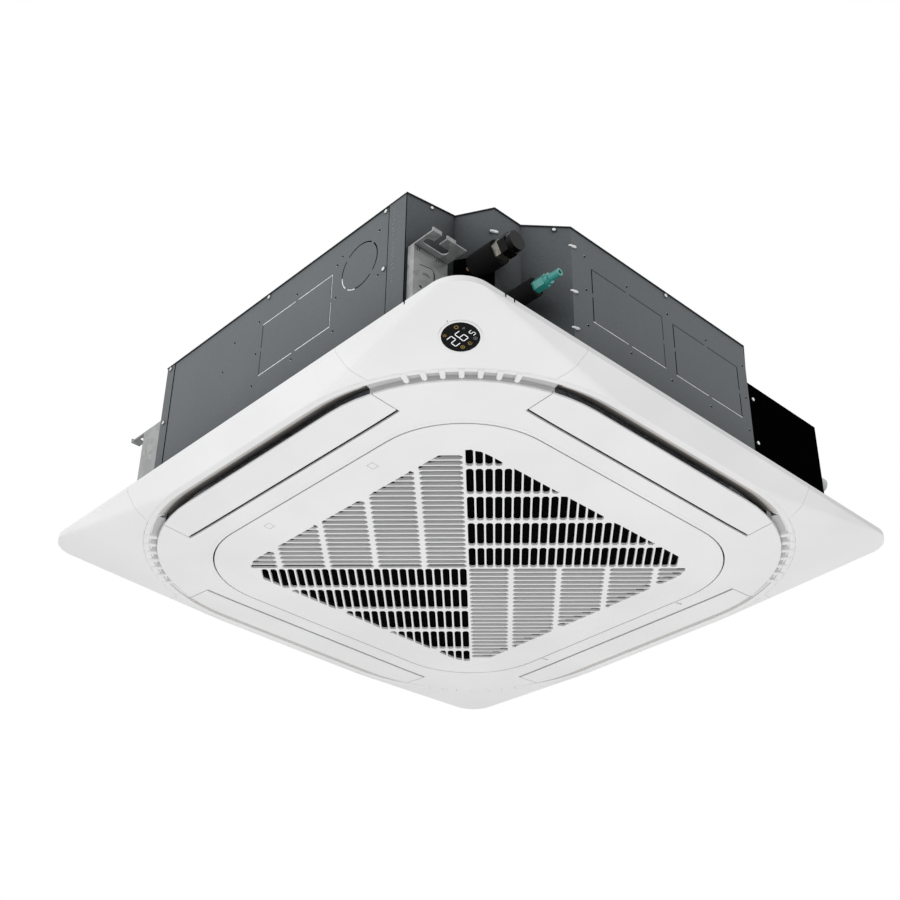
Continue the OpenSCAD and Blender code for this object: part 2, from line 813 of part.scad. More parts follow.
module fan_wheel() {
    hub_floor = fan_top - hub_drop;
    boss_r = shaft_r * 3;
    shroud_low = fan_base;
    shroud_high = fan_base + fan_height * 0.3;
    color([0.82, 0.84, 0.86]) at_ceiling() {
        // Back plate with the hub dome that clears the motor
        difference() {
            rotate_extrude() polygon([
                [shaft_r + running_fit, hub_floor - shaft_r],
                [boss_r, hub_floor - shaft_r],
                [boss_r, hub_floor],
                [hub_r * 0.8, hub_floor],
                [hub_r + fan_wall, fan_top - fan_wall],
                [fan_r, fan_top - fan_wall],
                [fan_r, fan_top],
                [hub_r, fan_top],
                [hub_r * 0.75, hub_floor + fan_wall],
                [shaft_r + running_fit, hub_floor + fan_wall]]);
        }
        // Shroud that narrows to the inlet
        rotate_extrude() polygon([
            [inlet_r + trough_gap, shroud_low],
            [inlet_r + trough_gap + fan_wall, shroud_low],
            [inlet_r + trough_gap + 2 * fan_wall, shroud_low + fan_height * 0.12],
            [inlet_r + fan_lift, shroud_low + fan_height * 0.24],
            [fan_r, shroud_high],
            [fan_r, shroud_high + fan_wall],
            [inlet_r + fan_lift - fan_wall, shroud_low + fan_height * 0.24 + fan_wall],
            [inlet_r + trough_gap, shroud_low + fan_height * 0.14]]);
        // Backward-curved blades between plate and shroud
        for (i = [0:blades - 1]) rotate(360 / blades * i) fan_blade(shroud_high, fan_top);
    }
}

// One blade, an arc of a circle seen in plan
module fan_blade(low, high) {
    arc_r = fan_r * 0.72;
    skirt = fan_height * 0.14;
    intersection() {
        translate([fan_r * 0.36, fan_r * 0.62, low - skirt]) rotate([0, 0, -92])
            rotate_extrude(angle = 58) translate([arc_r, 0]) square([blade, high - low + skirt - bite]);
        rotate_extrude() polygon([
            [hub_r + 2 * blade, high],
            [hub_r + fan_wall + 2 * blade, high - fan_height * 0.35],
            [inlet_r, low - fan_height * 0.09],
            [inlet_r + fan_lift, low - fan_height * 0.04],
            [fan_r, low + bite],
            [fan_r, high]]);
    }
}

module fan_nut() {
    color(zinc) at_ceiling() difference() {
        translate([0, 0, fan_top - hub_drop - 2 * shaft_r])
            cylinder(h = shaft_r, r = shaft_r * 1.9, $fn = 6);
        translate([0, 0, shaft_end - over]) cylinder(h = 4 * shaft_r, r = shaft_r + running_fit);
    }
}

bell_top = fan_base + trough_gap;
module bellmouth() {
    flange_r = pan_hole_r + trough_gap;
    color([0.7, 0.72, 0.74]) at_ceiling() rotate_extrude() polygon([
        [pan_hole_r - 2 * fan_wall, pan_base - fan_wall],
        [flange_r, pan_base - fan_wall],
        [flange_r, pan_base],
        [pan_hole_r - fan_wall, pan_base],
        [inlet_r + fan_wall * 2, pan_base + pan_height * 0.4],
        [inlet_r, pan_base + pan_height * 0.75],
        [inlet_r, bell_top],
        [inlet_r - fan_wall, bell_top],
        [inlet_r - fan_wall, pan_base + pan_height * 0.72],
        [inlet_r + fan_wall, pan_base + pan_height * 0.32]]);
}

// Control box under the drain pan, behind the grille
box_y = opening_half - box_width - 3 * panel_wall;
box_low = pan_base - box_height;
module control_box() {
    color(zinc) at_ceiling() difference() {
        translate([-box_length / 2, box_y, box_low]) cube([box_length, box_width, box_height]);
        translate([box_wall - box_length / 2, box_y + box_wall, box_low - over])
            cube([box_length - 2 * box_wall, box_width - 2 * box_wall, box_height - box_wall + over]);
    }
}

module control_lid() {
    color(zinc) at_ceiling() translate([-box_length / 2, box_y, box_low - box_wall])
        cube([box_length, box_width, box_wall]);
}

board_lift = box_height / 4;
module control_board() {
    wall = 3 * box_wall;
    post = 2 * box_wall;
    top = pan_base - box_wall;
    color([0.1, 0.4, 0.2]) at_ceiling() {
        translate([wall - box_length / 2, box_y + wall, top - board_lift - box_wall])
            cube([box_length * 0.7, box_width - 2 * wall, box_wall]);
        for (x = [2 * wall - box_length / 2, box_length * 0.15], y = [2 * wall, box_width - 2 * wall])
            translate([x, box_y + y, top - board_lift - bite])
                cylinder(h = board_lift + bite, r = post, $fn = 24);
    }
}

module terminal_block() {
    wall = 3 * box_wall;
    top = pan_base - box_wall;
    length = box_length * 0.16;
    depth = box_height * 0.4;
    color([0.9, 0.9, 0.85]) at_ceiling() difference() {
        translate([box_length / 2 - wall - length, box_y + wall, top - depth])
            cube([length, box_width - 2 * wall, depth]);
        for (i = [0:2]) {
            x = box_length / 2 - wall - length * (0.2 + 0.3 * i);
            translate([x, box_y + box_width / 2, top - depth - over])
                cylinder(h = depth / 2 + over, r = 2 * box_wall, $fn = 24);
        }
    }
}

// Panel flange: a shell that slopes from the square rim down to the rounded lip
module flange_form(inset, lift) {
    hull() {
        slab(panel_half - inset, panel_corner - inset, lift - rim_height, lift > 0 ? over : 0);
        slab(lip_half + lip_land - inset, lip_corner + lip_land - inset,
            lift - lip_drop, lift - lip_drop + bite);
    }
}

// The shell keeps any children as posts inside its hollow
module flange_shell() {
    difference() {
        flange_form(0, 0);
        difference() {
            flange_form(panel_wall, panel_wall);
            children();
        }
        slab(lip_half, lip_corner, -lip_drop - over, over);
    }
}

// Corner region covered by one corner cover, for the corner at minus X and minus Y
seam_run = (cover_seam_rim - cover_seam_lip) / lip_inset;
module corner_region(gap) {
    reach = panel_half + lip_inset;
    near = cover_seam_lip + gap - seam_run * lip_inset;
    far = cover_seam_rim + gap + seam_run * lip_inset;
    polygon([[-near, lip_inset - lip_half], [-far, -reach], [-reach, -reach], [-reach, -far],
        [lip_inset - lip_half, -near]]);
}

// Curved diffuser wall as points: along from the lip, then down from the ceiling surface
run_shares = [0, 0.3, 0.32, 0.5, 0.7, 0.85, 0.95, 1];
drop_shares = [1, 0.97, 0.9, 0.83, 0.7, 0.53, 0.32, 0.06];
function diffuser(shift) = [for (i = [0:len(run_shares) - 1])
    [-diffuser_run * run_shares[i] + shift, -lip_drop * drop_shares[i]]];
module diffuser_profile(top, start) {
    face = diffuser(0);
    last = len(face) - 1;
    rear = [for (i = [1:last]) face[i] + [panel_wall * run_shares[i], panel_wall * (1 - run_shares[i])]];
    polygon(concat([[start, -lip_drop]], [for (i = [1:last]) face[i]], [[face[last][0], top],
        [face[last][0] + panel_wall, top]], back(rear), [[start, panel_wall - lip_drop]]));
}

module diffuser_ring() {
    straight = lip_half - lip_corner;
    four() {
        translate([lip_half, straight, 0]) rotate([90, 0, 0])
            linear_extrude(2 * straight) diffuser_profile(casing_lift, bite);
        translate([straight, straight, 0]) {
            rotate_extrude(angle = 90) translate([lip_corner, 0]) diffuser_profile(0, -seam);
            // Ends of the fixed flange reach this far round each corner
            for (a = [0, 90 - flange_turn]) rotate(a)
                rotate_extrude(angle = flange_turn) translate([lip_corner, 0]) lip_joint();
        }
        translate([straight, straight, 0]) corner_ribs();
    }
}
flange_turn = asin((cover_seam_lip - lip_half + lip_corner) / lip_corner) - 1;

module lip_joint() {
    translate([-2 * bite, bite / 2 - lip_drop]) square([3 * bite, panel_wall - bite]);
}

// A grey skin on the diffuser wall beside each flap
liner_skin = panel_wall * 0.6;
function skin(t) = [for (i = [2:len(run_shares) - 1])
    diffuser(0)[i] - t * [run_shares[i], 1 - run_shares[i]]];
module outlet_liners() {
    straight = lip_half - lip_corner;
    liner_turn = asin((flap_half - straight) / lip_corner) - 1;
    color(grey) at_ceiling() four() {
        translate([lip_half, straight, 0]) rotate([90, 0, 0])
            linear_extrude(2 * straight) liner_profile();
        for (m = [0, 1]) mirror([0, m, 0]) translate([straight, straight, 0])
            rotate_extrude(angle = liner_turn) translate([lip_corner, 0]) liner_profile();
    }
}

module liner_profile() {
    polygon(concat(skin(0), back(skin(liner_skin))));
}

module corner_ribs() {
    low = centre_drop - panel_wall - bite;
    face = diffuser(bite);
    last = len(face) - 1;
    tail = [[face[last][0], -low], [face[1][0], -low]];
    for (i = [0:ribs - 1]) rotate(45 + rib_angle * (i - (ribs - 1) / 2))
        translate([lip_corner, rib / 2, 0]) rotate([90, 0, 0])
            linear_extrude(rib) polygon(concat([for (k = [1:last]) face[k]], tail));
}

// Flat plate over each corner, which carries the corner cover and the centre section
plate_inner = (lip_half - lip_corner / 4) * sqrt(2) - ring_width * 2;
module corner_plate() {
    lap = 3 * panel_wall;
    clear = panel_wall + seam;
    cut = plate_inner * sqrt(2);
    translate([0, 0, -panel_wall]) linear_extrude(panel_wall) {
        intersection() {
            corner_region(0);
            polygon(rounded(panel_half - clear, panel_corner - clear));
            corner_cut(cut);
        }
        intersection() {
            corner_region(-lap);
            polygon(rounded(panel_half - panel_wall + bite, panel_corner - panel_wall + bite));
            difference() {
                square(4 * half, center = true);
                corner_region(-seam);
            }
            difference() {
                square(4 * half, center = true);
                polygon(rounded(lip_half - diffuser_run, lip_corner - diffuser_run));
            }
        }
    }
}

module corner_cut(cut) {
    polygon([[-cut, 0], [0, -cut], [-2 * half, -2 * half]]);
}

module panel_frame() {
    color(white) at_ceiling() {
        difference() {
            flange_shell();
            four() translate([0, 0, -lip_drop - over])
                linear_extrude(lip_drop + 2 * over) corner_region(-seam / 2);
        }
        diffuser_ring();
        difference() {
            four() corner_plate();
            four() translate([-screw_place, -screw_place, -panel_wall - over])
                cylinder(h = panel_wall + 2 * over, r = panel_screw_r);
            translate([-display_place, -display_place, -panel_wall - over])
                cylinder(h = panel_wall + 2 * over, r = display_r / 3);
        }
    }
}

screw_place = (centre_half - centre_corner * 0.29) * 0.925;
panel_screw_r = panel_wall / 1.5;

module corner_cover(k) {
    color(white) at_ceiling() rotate(90 * k) difference() {
        intersection() {
            flange_shell() for (m = [0, 1]) mirror([m, -m, 0])
                translate([-post_far, -post_near, -lip_drop])
                    cylinder(h = lip_drop - panel_wall, r = 2 * panel_wall);
            translate([0, 0, -lip_drop - over])
                linear_extrude(lip_drop + 2 * over) corner_region(seam / 2);
        }
        if (k == 0) display_place() translate([0, 0, -over - 2 * panel_wall])
            cylinder(h = 4 * panel_wall, r = display_r - display_ring);
    }
}
post_far = panel_half - lip_inset * 1.4;
post_near = panel_half - lip_inset * 4.8;

module corner_cover_1() {
    corner_cover(0);
}

module corner_cover_2() {
    corner_cover(1);
}

module corner_cover_3() {
    corner_cover(2);
}

module corner_cover_4() {
    corner_cover(3);
}

// Display, square to the sloping corner: local +Z points out of the panel's face
rim_diag = (panel_half - panel_corner) * sqrt(2) + panel_corner;
lip_diag = (lip_half - lip_corner) * sqrt(2) + lip_corner + lip_land;
slope = atan2(lip_drop - rim_height, rim_diag - lip_diag);
display_z = -rim_height - (rim_diag - display_place * sqrt(2)) * tan(slope);
module display_place() {
    translate([-display_place, -display_place, display_z]) rotate(-135)
        rotate([0, 180 - slope, 0]) children();
}

module display_bezel() {
    face = panel_wall * 0.3;
    color(white) at_ceiling() display_place() difference() {
        union() {
            cylinder(h = face, r = display_r);
            translate([0, 0, -panel_wall])
                cylinder(h = panel_wall, r = display_r - display_ring - seam / 4);
        }
        translate([0, 0, -panel_wall - over])
            cylinder(h = panel_wall + face + 2 * over, r = display_r - 2 * display_ring);
    }
}

module display_lens() {
    color(black) at_ceiling() display_place()
        translate([0, 0, -lens]) cylinder(h = lens, r = display_r - 2 * display_ring);
}

module display_board() {
    color([0.1, 0.4, 0.2]) at_ceiling() display_place()
        translate([0, 0, -panel_wall - sheet]) cylinder(h = sheet, r = display_r - 1.5 * display_ring);
}

// Centre section and flaps share one shallow dish
module dish(lift, rise, grow = 0) {
    hull() {
        slab(centre_half + grow, centre_corner + grow, lift - centre_drop, lift - centre_drop + rise);
        slab(grille_half, grille_corner, lift - seam_drop, lift - seam_drop + bite);
    }
}

module dish_shell() {
    difference() {
        dish(0, panel_wall);
        dish(panel_wall, panel_wall + over, over);
    }
}

flap_inner = centre_half - flap_band;
flap_edge = flap_inner + flap_gap;
pivot_x = flap_edge + pivot_inset;
bearing = panel_wall;
bearing_out = flap_half + bearing;
duct_wall = flap_inner - flap_gap;
module centre_frame() {
    ring_r = grille_corner + duct_wall - grille_half;
    rim = opening_half + panel_wall;
    rim_top = 5 * panel_wall - seam_drop;
    color(white) at_ceiling() {
        difference() {
            union() {
                difference() {
                    dish_shell();
                    slab(opening_half, opening_corner, -grille_drop - over, over);
                    four() translate([flap_inner, -flap_half, -grille_drop])
                        cube([flap_band + over, 2 * flap_half, grille_drop]);
                }
                // Rim round the grille opening
                difference() {
                    slab(rim + panel_wall, opening_corner + 2 * panel_wall, bite - seam_drop, rim_top);
                    slab(rim, opening_corner + panel_wall, -seam_drop - over, over);
                }
                hinge_lugs();
            }
            hinge_bores();
        }
        // Duct wall up to the drain pan
        difference() {
            slab(duct_wall, ring_r, -seam_drop + panel_wall, casing_lift - seam);
            slab(duct_wall - panel_wall, ring_r - panel_wall, -seam_drop, pan_base + over);
        }
        four() {
            for (s = [-1, 1]) flap_bearing(s);
            column();
        }
    }
}

module flap_bearing(s) {
    wide = pivot_inset + flap_gap;
    start = s > 0 ? flap_half : -bearing_out;
    low = -centre_drop - panel_wall / 2;
    difference() {
        translate([pivot_x - wide, start, low]) cube([2 * wide, bearing, wide - pivot_drop - low]);
        translate([pivot_x, start - over, -pivot_drop]) rotate([-90, 0, 0])
            cylinder(h = bearing + 2 * over, r = pin_r + running_fit, $fn = 48);
    }
}

module column() {
    difference() {
        translate([-screw_place, -screw_place, -centre_drop])
            cylinder(h = centre_drop - panel_wall, r = 4 * panel_screw_r);
        translate([-screw_place, -screw_place, -centre_drop / 2])
            cylinder(h = centre_drop, r = panel_screw_r);
    }
}

// Hinges of the grille: lugs on the centre section carry the pins of the grille's two ears
hinge_x = grille_half + hinge_outset;
hinge_drop = seam_drop - hinge_rise;
lug = panel_wall;
ear_room = panel_wall / 2 + 1.5 * seam;
module hinge_lugs() {
    eye = 2 * hinge_pin_r + bite;
    foot = panel_wall / 2;
    for (s = [-1, 1], m = [-1, 1])
        translate([hinge_x, s * hinge_reach + m * (ear_room + lug / 2) + lug / 2, 0])
            rotate([90, 0, 0]) linear_extrude(lug) {
                translate([0, -hinge_drop]) circle(eye, $fn = 48);
                translate([-eye, foot - seam_drop]) square([2 * eye, hinge_rise - foot]);
            }
}

// Bores for the pins, and slots that let the ears swing down through the centre section
module hinge_bores() {
    end = hinge_x + 2 * hinge_pin_r + 2 * seam;
    bore = ear_room + lug + over;
    for (s = [-1, 1]) translate([0, s * hinge_reach, 0]) {
        translate([opening_half - over, -ear_room, -grille_drop])
            cube([end - opening_half + over, 2 * ear_room, grille_drop]);
        translate([hinge_x, -bore, -hinge_drop]) rotate([-90, 0, 0])
            cylinder(h = 2 * bore, r = hinge_pin_r + running_fit, $fn = 48);
    }
}

module flap(k) {
    ear = panel_wall;
    ear_out = flap_half - flap_end_gap;
    low = -centre_drop - ear / 2;
    pin_length = bearing + ear + flap_end_gap * 0.75;
    color(white) at_ceiling() rotate(90 * k) {
        intersection() {
            dish_shell();
            translate([flap_edge, -ear_out, -seam_drop]) cube([flap_band, 2 * ear_out, seam_drop]);
        }
        translate([pivot_x - ear / 2, -ear_out, low]) cube([ear, 2 * ear_out, ear * 2]);
        for (s = [0, 1]) mirror([0, s, 0]) {
            translate([pivot_x - pivot_inset / 2, ear_out - ear, low])
                cube([pivot_inset, ear, -pivot_drop - low]);
            translate([pivot_x, ear_out - ear, -pivot_drop]) rotate([-90, 0, 0]) {
                cylinder(h = pin_length, r = pin_r, $fn = 48);
                cylinder(h = ear, r = pivot_inset / 2, $fn = 48);
            }
        }
    }
}

module flap_1() {
    flap(0);
}

module flap_2() {
    flap(1);
}

module flap_3() {
    flap(2);
}

module flap_4() {
    flap(3);
}

module flap_motors() {
    raise = flap_motor_r * 0.57;
    color(zinc) at_ceiling() four()
        translate([pivot_x, bearing_out, raise - pivot_drop]) rotate([-90, 0, 0])
            cylinder(h = flap_motor_length, r = flap_motor_r);
}

// Intake grille: slots along the diagonals in four quarters turned a quarter turn apart
field_half = grille_half - field_inset;
field_mid = (field_half - field_corner) * sqrt(2);
corner_turn = field_corner / sqrt(2);
slot_half = slot_width / 2;
rows = ceil((field_mid + field_corner) / row_pitch);
slots_in_row = floor((field_mid + field_corner - slot_margin) / slot_pitch);
cap_shares = [[-1, 0.8], [-0.5, 0], [0.5, 0], [1, 0.8]];
// How far the field reaches along one diagonal at distance a along the other
function reach_at(a) = a < corner_turn ? field_mid + sqrt(max(0, pow(field_corner, 2) - a * a))
    : a < field_mid + corner_turn ? field_half * sqrt(2) - a
    : sqrt(max(0, pow(field_corner, 2) - pow(a - field_mid, 2)));
function slot_points(a, low, high, left, right) = concat(
    [for (s = cap_shares) [a + s[0] * slot_half, low + s[1] * slot_half]],
    left >= high && right >= high
        ? [for (s = back(cap_shares)) [a + s[0] * slot_half, high - s[1] * slot_half]]
        : [[a + slot_half, max(right, low + 1.2 * slot_half)],
            [a + 0.5 * slot_half, max(right, low) + 0.5 * slot_half],
            [a - slot_half, left]]);
function turned(points) = [for (p = points) [(p[0] - p[1]) / sqrt(2), -(p[0] + p[1]) / sqrt(2)]];

module slots() {
    for (j = [0:rows - 1], i = [0:slots_in_row - 1]) {
        a = slot_margin + slot_half + i * slot_pitch;
        low = max(slot_margin, j * row_pitch - slot_margin * 2);
        high = j * row_pitch - slot_margin * 2 + slot_length;
        left = min(high, reach_at(a - slot_half));
        right = min(high, reach_at(a + slot_half));
        if (left > low + 1.6 * slot_half)
            polygon(turned(slot_points(a, low, high, left, right)));
    }
}

flat_half = grille_half - band_width;
module intake_grille() {
    low = -grille_drop;
    back = grille_wall - seam_drop;
    color(white) at_ceiling() {
        difference() {
            hull() {
                slab(grille_half, grille_corner, -seam_drop, back);
                slab(flat_half, flat_corner, low, low + bite);
            }
            hull() {
                slab(grille_half + over, grille_corner + over, back, back + over);
                slab(flat_half, flat_corner, low + grille_wall, low + grille_wall + bite);
            }
            translate([0, 0, low - over]) linear_extrude(grille_wall + 2 * over) four() slots();
        }
        for (s = [-1, 1]) grille_ear(s * hinge_reach);
    }
}

// An ear that reaches over the opening's edge, with its pin through both lugs
module grille_ear(y) {
    eye = 2 * hinge_pin_r;
    reach = hinge_outset + 2 * panel_wall + eye;
    pin = ear_room + lug;
    translate([hinge_x, y + panel_wall / 2, 0]) rotate([90, 0, 0]) linear_extrude(panel_wall) {
        translate([0, -hinge_drop]) circle(eye, $fn = 48);
        translate([-reach, -hinge_drop - eye]) square([reach, 1.5 * eye]);
    }
    translate([hinge_x, y - pin, -hinge_drop]) rotate([-90, 0, 0])
        cylinder(h = 2 * pin, r = hinge_pin_r, $fn = 48);
}

filter_half = flat_half - panel_wall;
module filter_frame() {
    low = grille_wall - grille_drop;
    inner = filter_half - filter_band;
    bar = filter_band / 2;
    color([0.35, 0.36, 0.38]) at_ceiling() {
        difference() {
            slab(filter_half, flat_corner - panel_wall, low, low + filter_height);
            slab(inner, flat_corner - panel_wall - filter_band, low - over, low + filter_height + over);
        }
        for (s = [-1, 0, 1]) {
            for (k = [0, 90]) rotate(k) translate([s * inner / 2 - bar / 2, -inner - bite, low])
                cube([bar, 2 * (inner + bite), filter_height / 2]);
        }
    }
}

module filter_mesh() {
    low = grille_wall - grille_drop + filter_height / 2;
    inner = filter_half - filter_band;
    color([0.15, 0.16, 0.17]) at_ceiling()
        slab(inner, flat_corner - panel_wall - filter_band, low, low + mesh);
}

// Push latches on the side away from the hinge
latch_x = grille_half - latch_inset;
housing_low = plunger_travel * 2 + seam - seam_drop + grille_wall;
housing_high = housing_low + 4 * plunger_travel;
module latch_plunger(s) {
    foot = grille_wall + soft_fit - seam_drop;
    long = housing_high - plunger_travel * 1.5 - foot;
    color([0.9, 0.9, 0.9]) at_ceiling() translate([-latch_x, s * latch_reach, foot]) {
        cylinder(h = plunger_travel, r = plunger_r, $fn = 48);
        cylinder(h = long, r = plunger_r * 0.6, $fn = 48);
    }
}

module latch_plunger_1() {
    latch_plunger(-1);
}

module latch_plunger_2() {
    latch_plunger(1);
}

module latch_housings() {
    wide = plunger_r * 4;
    bore_r = plunger_r * 0.6 + running_fit;
    high = housing_high - housing_low;
    deep = opening_half + panel_wall - latch_x + plunger_r * 1.6;
    color([0.8, 0.8, 0.8]) at_ceiling() for (s = [-1, 1]) difference() {
        translate([-opening_half - panel_wall, s * latch_reach - wide / 2, housing_low])
            cube([deep, wide, high]);
        translate([-latch_x, s * latch_reach, housing_low - over])
            cylinder(h = high - sheet + over, r = bore_r, $fn = 48);
    }
}

module panel_screws() {
    head = panel_screw_r;
    color(zinc) at_ceiling() four() translate([-screw_place, -screw_place, 0]) {
        cylinder(h = head, r = 2 * panel_screw_r, $fn = 24);
        translate([0, 0, -centre_drop / 3])
            cylinder(h = centre_drop / 3 + bite, r = panel_screw_r);
    }
}

casing_shell();
top_plate();
casing_screws();
hanger_bracket_1();
hanger_bracket_2();
hanger_bracket_3();
hanger_bracket_4();
foam_liner();
drain_pan();
fin_pack();
return_bends();
coil_end_plates();
gas_pipe();
liquid_pipe();
gas_sleeve();
liquid_sleeve();
gas_flare_nut();
gas_cap();
liquid_fitting();
pipe_plate_black();
drain_cover();
drain_pump();
float_switch();
float_ring();
drain_outlet();
fan_motor();
motor_bushes();
fan_wheel();
fan_nut();
bellmouth();
control_box();
control_lid();
control_board();
terminal_block();
panel_frame();
centre_frame();
corner_cover_1();
corner_cover_2();
corner_cover_3();
corner_cover_4();
display_bezel();
display_lens();
display_board();
flap_1();
flap_2();
flap_3();
flap_4();
flap_motors();
outlet_liners();
intake_grille();
filter_frame();
filter_mesh();
latch_plunger_1();
latch_plunger_2();
latch_housings();
panel_screws();
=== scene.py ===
import math

import bmesh
import bpy
from mathutils import Matrix, Vector


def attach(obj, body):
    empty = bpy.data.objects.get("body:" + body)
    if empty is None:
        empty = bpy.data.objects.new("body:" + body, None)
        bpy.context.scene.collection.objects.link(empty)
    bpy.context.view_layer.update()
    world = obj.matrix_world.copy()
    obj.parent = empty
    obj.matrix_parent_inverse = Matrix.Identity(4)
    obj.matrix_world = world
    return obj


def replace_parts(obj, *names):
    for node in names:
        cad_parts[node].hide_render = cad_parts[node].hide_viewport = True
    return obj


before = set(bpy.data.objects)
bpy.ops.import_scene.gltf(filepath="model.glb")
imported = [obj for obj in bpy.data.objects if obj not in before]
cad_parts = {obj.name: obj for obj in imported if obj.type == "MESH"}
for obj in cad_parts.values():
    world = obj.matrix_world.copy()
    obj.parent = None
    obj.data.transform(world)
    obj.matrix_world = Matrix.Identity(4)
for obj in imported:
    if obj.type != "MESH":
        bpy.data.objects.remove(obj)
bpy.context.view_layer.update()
MM = 0.001
RISE = 162.0  # the hanger tabs' height above the ceiling surface, in mm


# Node materials
def new_material(name):
    mat = bpy.data.materials.new(name)
    mat.use_nodes = True
    tree = mat.node_tree
    return mat, tree, tree.nodes["Principled BSDF"]


def node(tree, kind, **values):
    made = tree.nodes.new(kind)
    for key, value in values.items():
        if key in made.inputs:
            made.inputs[key].default_value = value
        else:
            setattr(made, key, value)
    return made


def coords(tree, scale=(1, 1, 1)):
    tex = node(tree, "ShaderNodeTexCoord")
    mapping = node(tree, "ShaderNodeMapping")
    mapping.inputs["Scale"].default_value = scale
    tree.links.new(tex.outputs["Object"], mapping.inputs["Vector"])
    return mapping.outputs["Vector"]


def noise(tree, vector, scale, detail=3.0, rough=0.5):
    made = node(tree, "ShaderNodeTexNoise", Scale=scale, Detail=detail, Roughness=rough)
    tree.links.new(vector, made.inputs["Vector"])
    return made.outputs["Fac"]


def ramp(tree, fac, low, high, a, b):
    made = node(tree, "ShaderNodeMapRange")
    made.inputs["From Min"].default_value = low
    made.inputs["From Max"].default_value = high
    made.inputs["To Min"].default_value = a
    made.inputs["To Max"].default_value = b
    tree.links.new(fac, made.inputs["Value"])
    return made.outputs["Result"]


def mix_colour(tree, fac, a, b):
    made = node(tree, "ShaderNodeMix", data_type="RGBA")
    made.inputs["A"].default_value = (*a, 1)
    made.inputs["B"].default_value = (*b, 1)
    tree.links.new(fac, made.inputs["Factor"])
    return made.outputs["Result"]


def edge_normal(tree, radius):
    return node(tree, "ShaderNodeBevel", samples=4, Radius=radius).outputs["Normal"]


def bump(tree, bsdf, height, strength, distance, radius=0.0):
    made = node(tree, "ShaderNodeBump", Strength=strength, Distance=distance)
    tree.links.new(height, made.inputs["Height"])
    if radius:
        tree.links.new(edge_normal(tree, radius), made.inputs["Normal"])
    tree.links.new(made.outputs["Normal"], bsdf.inputs["Normal"])


def moulded(name, colour, rough, grain=0.06, spread=0.03, radius=0.0006, specular=0.5):
    """Moulded plastic: fine spark-eroded grain, faint flow marks and softened edges."""
    mat, tree, bsdf = new_material(name)
    where = coords(tree)
    flow = noise(tree, where, 7.0, 2.0)
    tone = ramp(tree, flow, 0.3, 0.7, 0.0, 1.0)
    low = tuple(c * (1 - spread) for c in colour)
    high = tuple(min(1.0, c * (1 + spread)) for c in colour)
    tree.links.new(mix_colour(tree, tone, low, high), bsdf.inputs["Base Color"])
    grain_fac = noise(tree, where, 1400.0, 2.0)
    tree.links.new(ramp(tree, grain_fac, 0.3, 0.7, rough - 0.05, rough + 0.05), bsdf.inputs["Roughness"])
    bsdf.inputs["Specular IOR Level"].default_value = specular
    bump(tree, bsdf, grain_fac, grain, 0.0002, radius)
    return mat


def coated_steel(name, colour, rough):
    """Pre-coated sheet steel: faint roller mottling, cloudy wear, a soft sheen, and painted shade that
    darkens it and dulls its sheen in inner corners.
    """
    mat, tree, bsdf = new_material(name)
    where = coords(tree)
    cloud = noise(tree, where, 5.0, 5.0, 0.6)
    speck = noise(tree, where, 420.0, 3.0, 0.7)
    tone = mix_colour(tree, ramp(tree, cloud, 0.3, 0.7, 0.0, 1.0),
                      tuple(c * 0.88 for c in colour), tuple(c * 1.12 for c in colour))
    flecks = node(tree, "ShaderNodeMix", data_type="RGBA", blend_type="MULTIPLY", Factor=0.35)
    tree.links.new(tone, flecks.inputs["A"])
    tree.links.new(mix_colour(tree, ramp(tree, speck, 0.42, 0.6, 0.0, 1.0), (0.75,) * 3, (1.0,) * 3),
                   flecks.inputs["B"])
    # Painted shade: the steel is darker and less glossy in its inner corners, as found by ambient occlusion
    near = node(tree, "ShaderNodeAmbientOcclusion", samples=8, Distance=0.3)
    open_share = ramp(tree, near.outputs["AO"], 0.68, 0.97, 0.0, 1.0)
    tree.links.new(ramp(tree, open_share, 0.0, 1.0, 0.04, 0.3), bsdf.inputs["Specular IOR Level"])
    corner_shade = node(tree, "ShaderNodeMix", data_type="RGBA", blend_type="MULTIPLY", Factor=1.0)
    tree.links.new(flecks.outputs["Result"], corner_shade.inputs["A"])
    tree.links.new(mix_colour(tree, open_share, (0.2,) * 3, (1.0,) * 3), corner_shade.inputs["B"])
    tree.links.new(corner_shade.outputs["Result"], bsdf.inputs["Base Color"])
    tree.links.new(ramp(tree, cloud, 0.3, 0.7, rough - 0.06, rough + 0.08), bsdf.inputs["Roughness"])
    bsdf.inputs["Metallic"].default_value = 0.08
    bump(tree, bsdf, speck, 0.12, 0.0002, 0.0005)
    return mat


def galvanised(name, colour, rough, spangle, metallic):
    """Zinc-coated steel with its spangle of crystal patches and fine rolling lines."""
    mat, tree, bsdf = new_material(name)
    where = coords(tree)
    cells = node(tree, "ShaderNodeTexVoronoi", Scale=spangle)
    tree.links.new(where, cells.inputs["Vector"])
    split = node(tree, "ShaderNodeSeparateColor")
    tree.links.new(cells.outputs["Color"], split.inputs["Color"])
    patch = split.outputs["Red"]
    tree.links.new(mix_colour(tree, patch, tuple(c * 0.78 for c in colour),
                              tuple(min(1.0, c * 1.12) for c in colour)), bsdf.inputs["Base Color"])
    tree.links.new(ramp(tree, patch, 0.0, 1.0, rough - 0.08, rough + 0.12), bsdf.inputs["Roughness"])
    bsdf.inputs["Metallic"].default_value = metallic
    lines = noise(tree, coords(tree, (60, 60, 1400)), 1.0, 2.0)
    bump(tree, bsdf, lines, 0.15, 0.0002, 0.0004)
    return mat


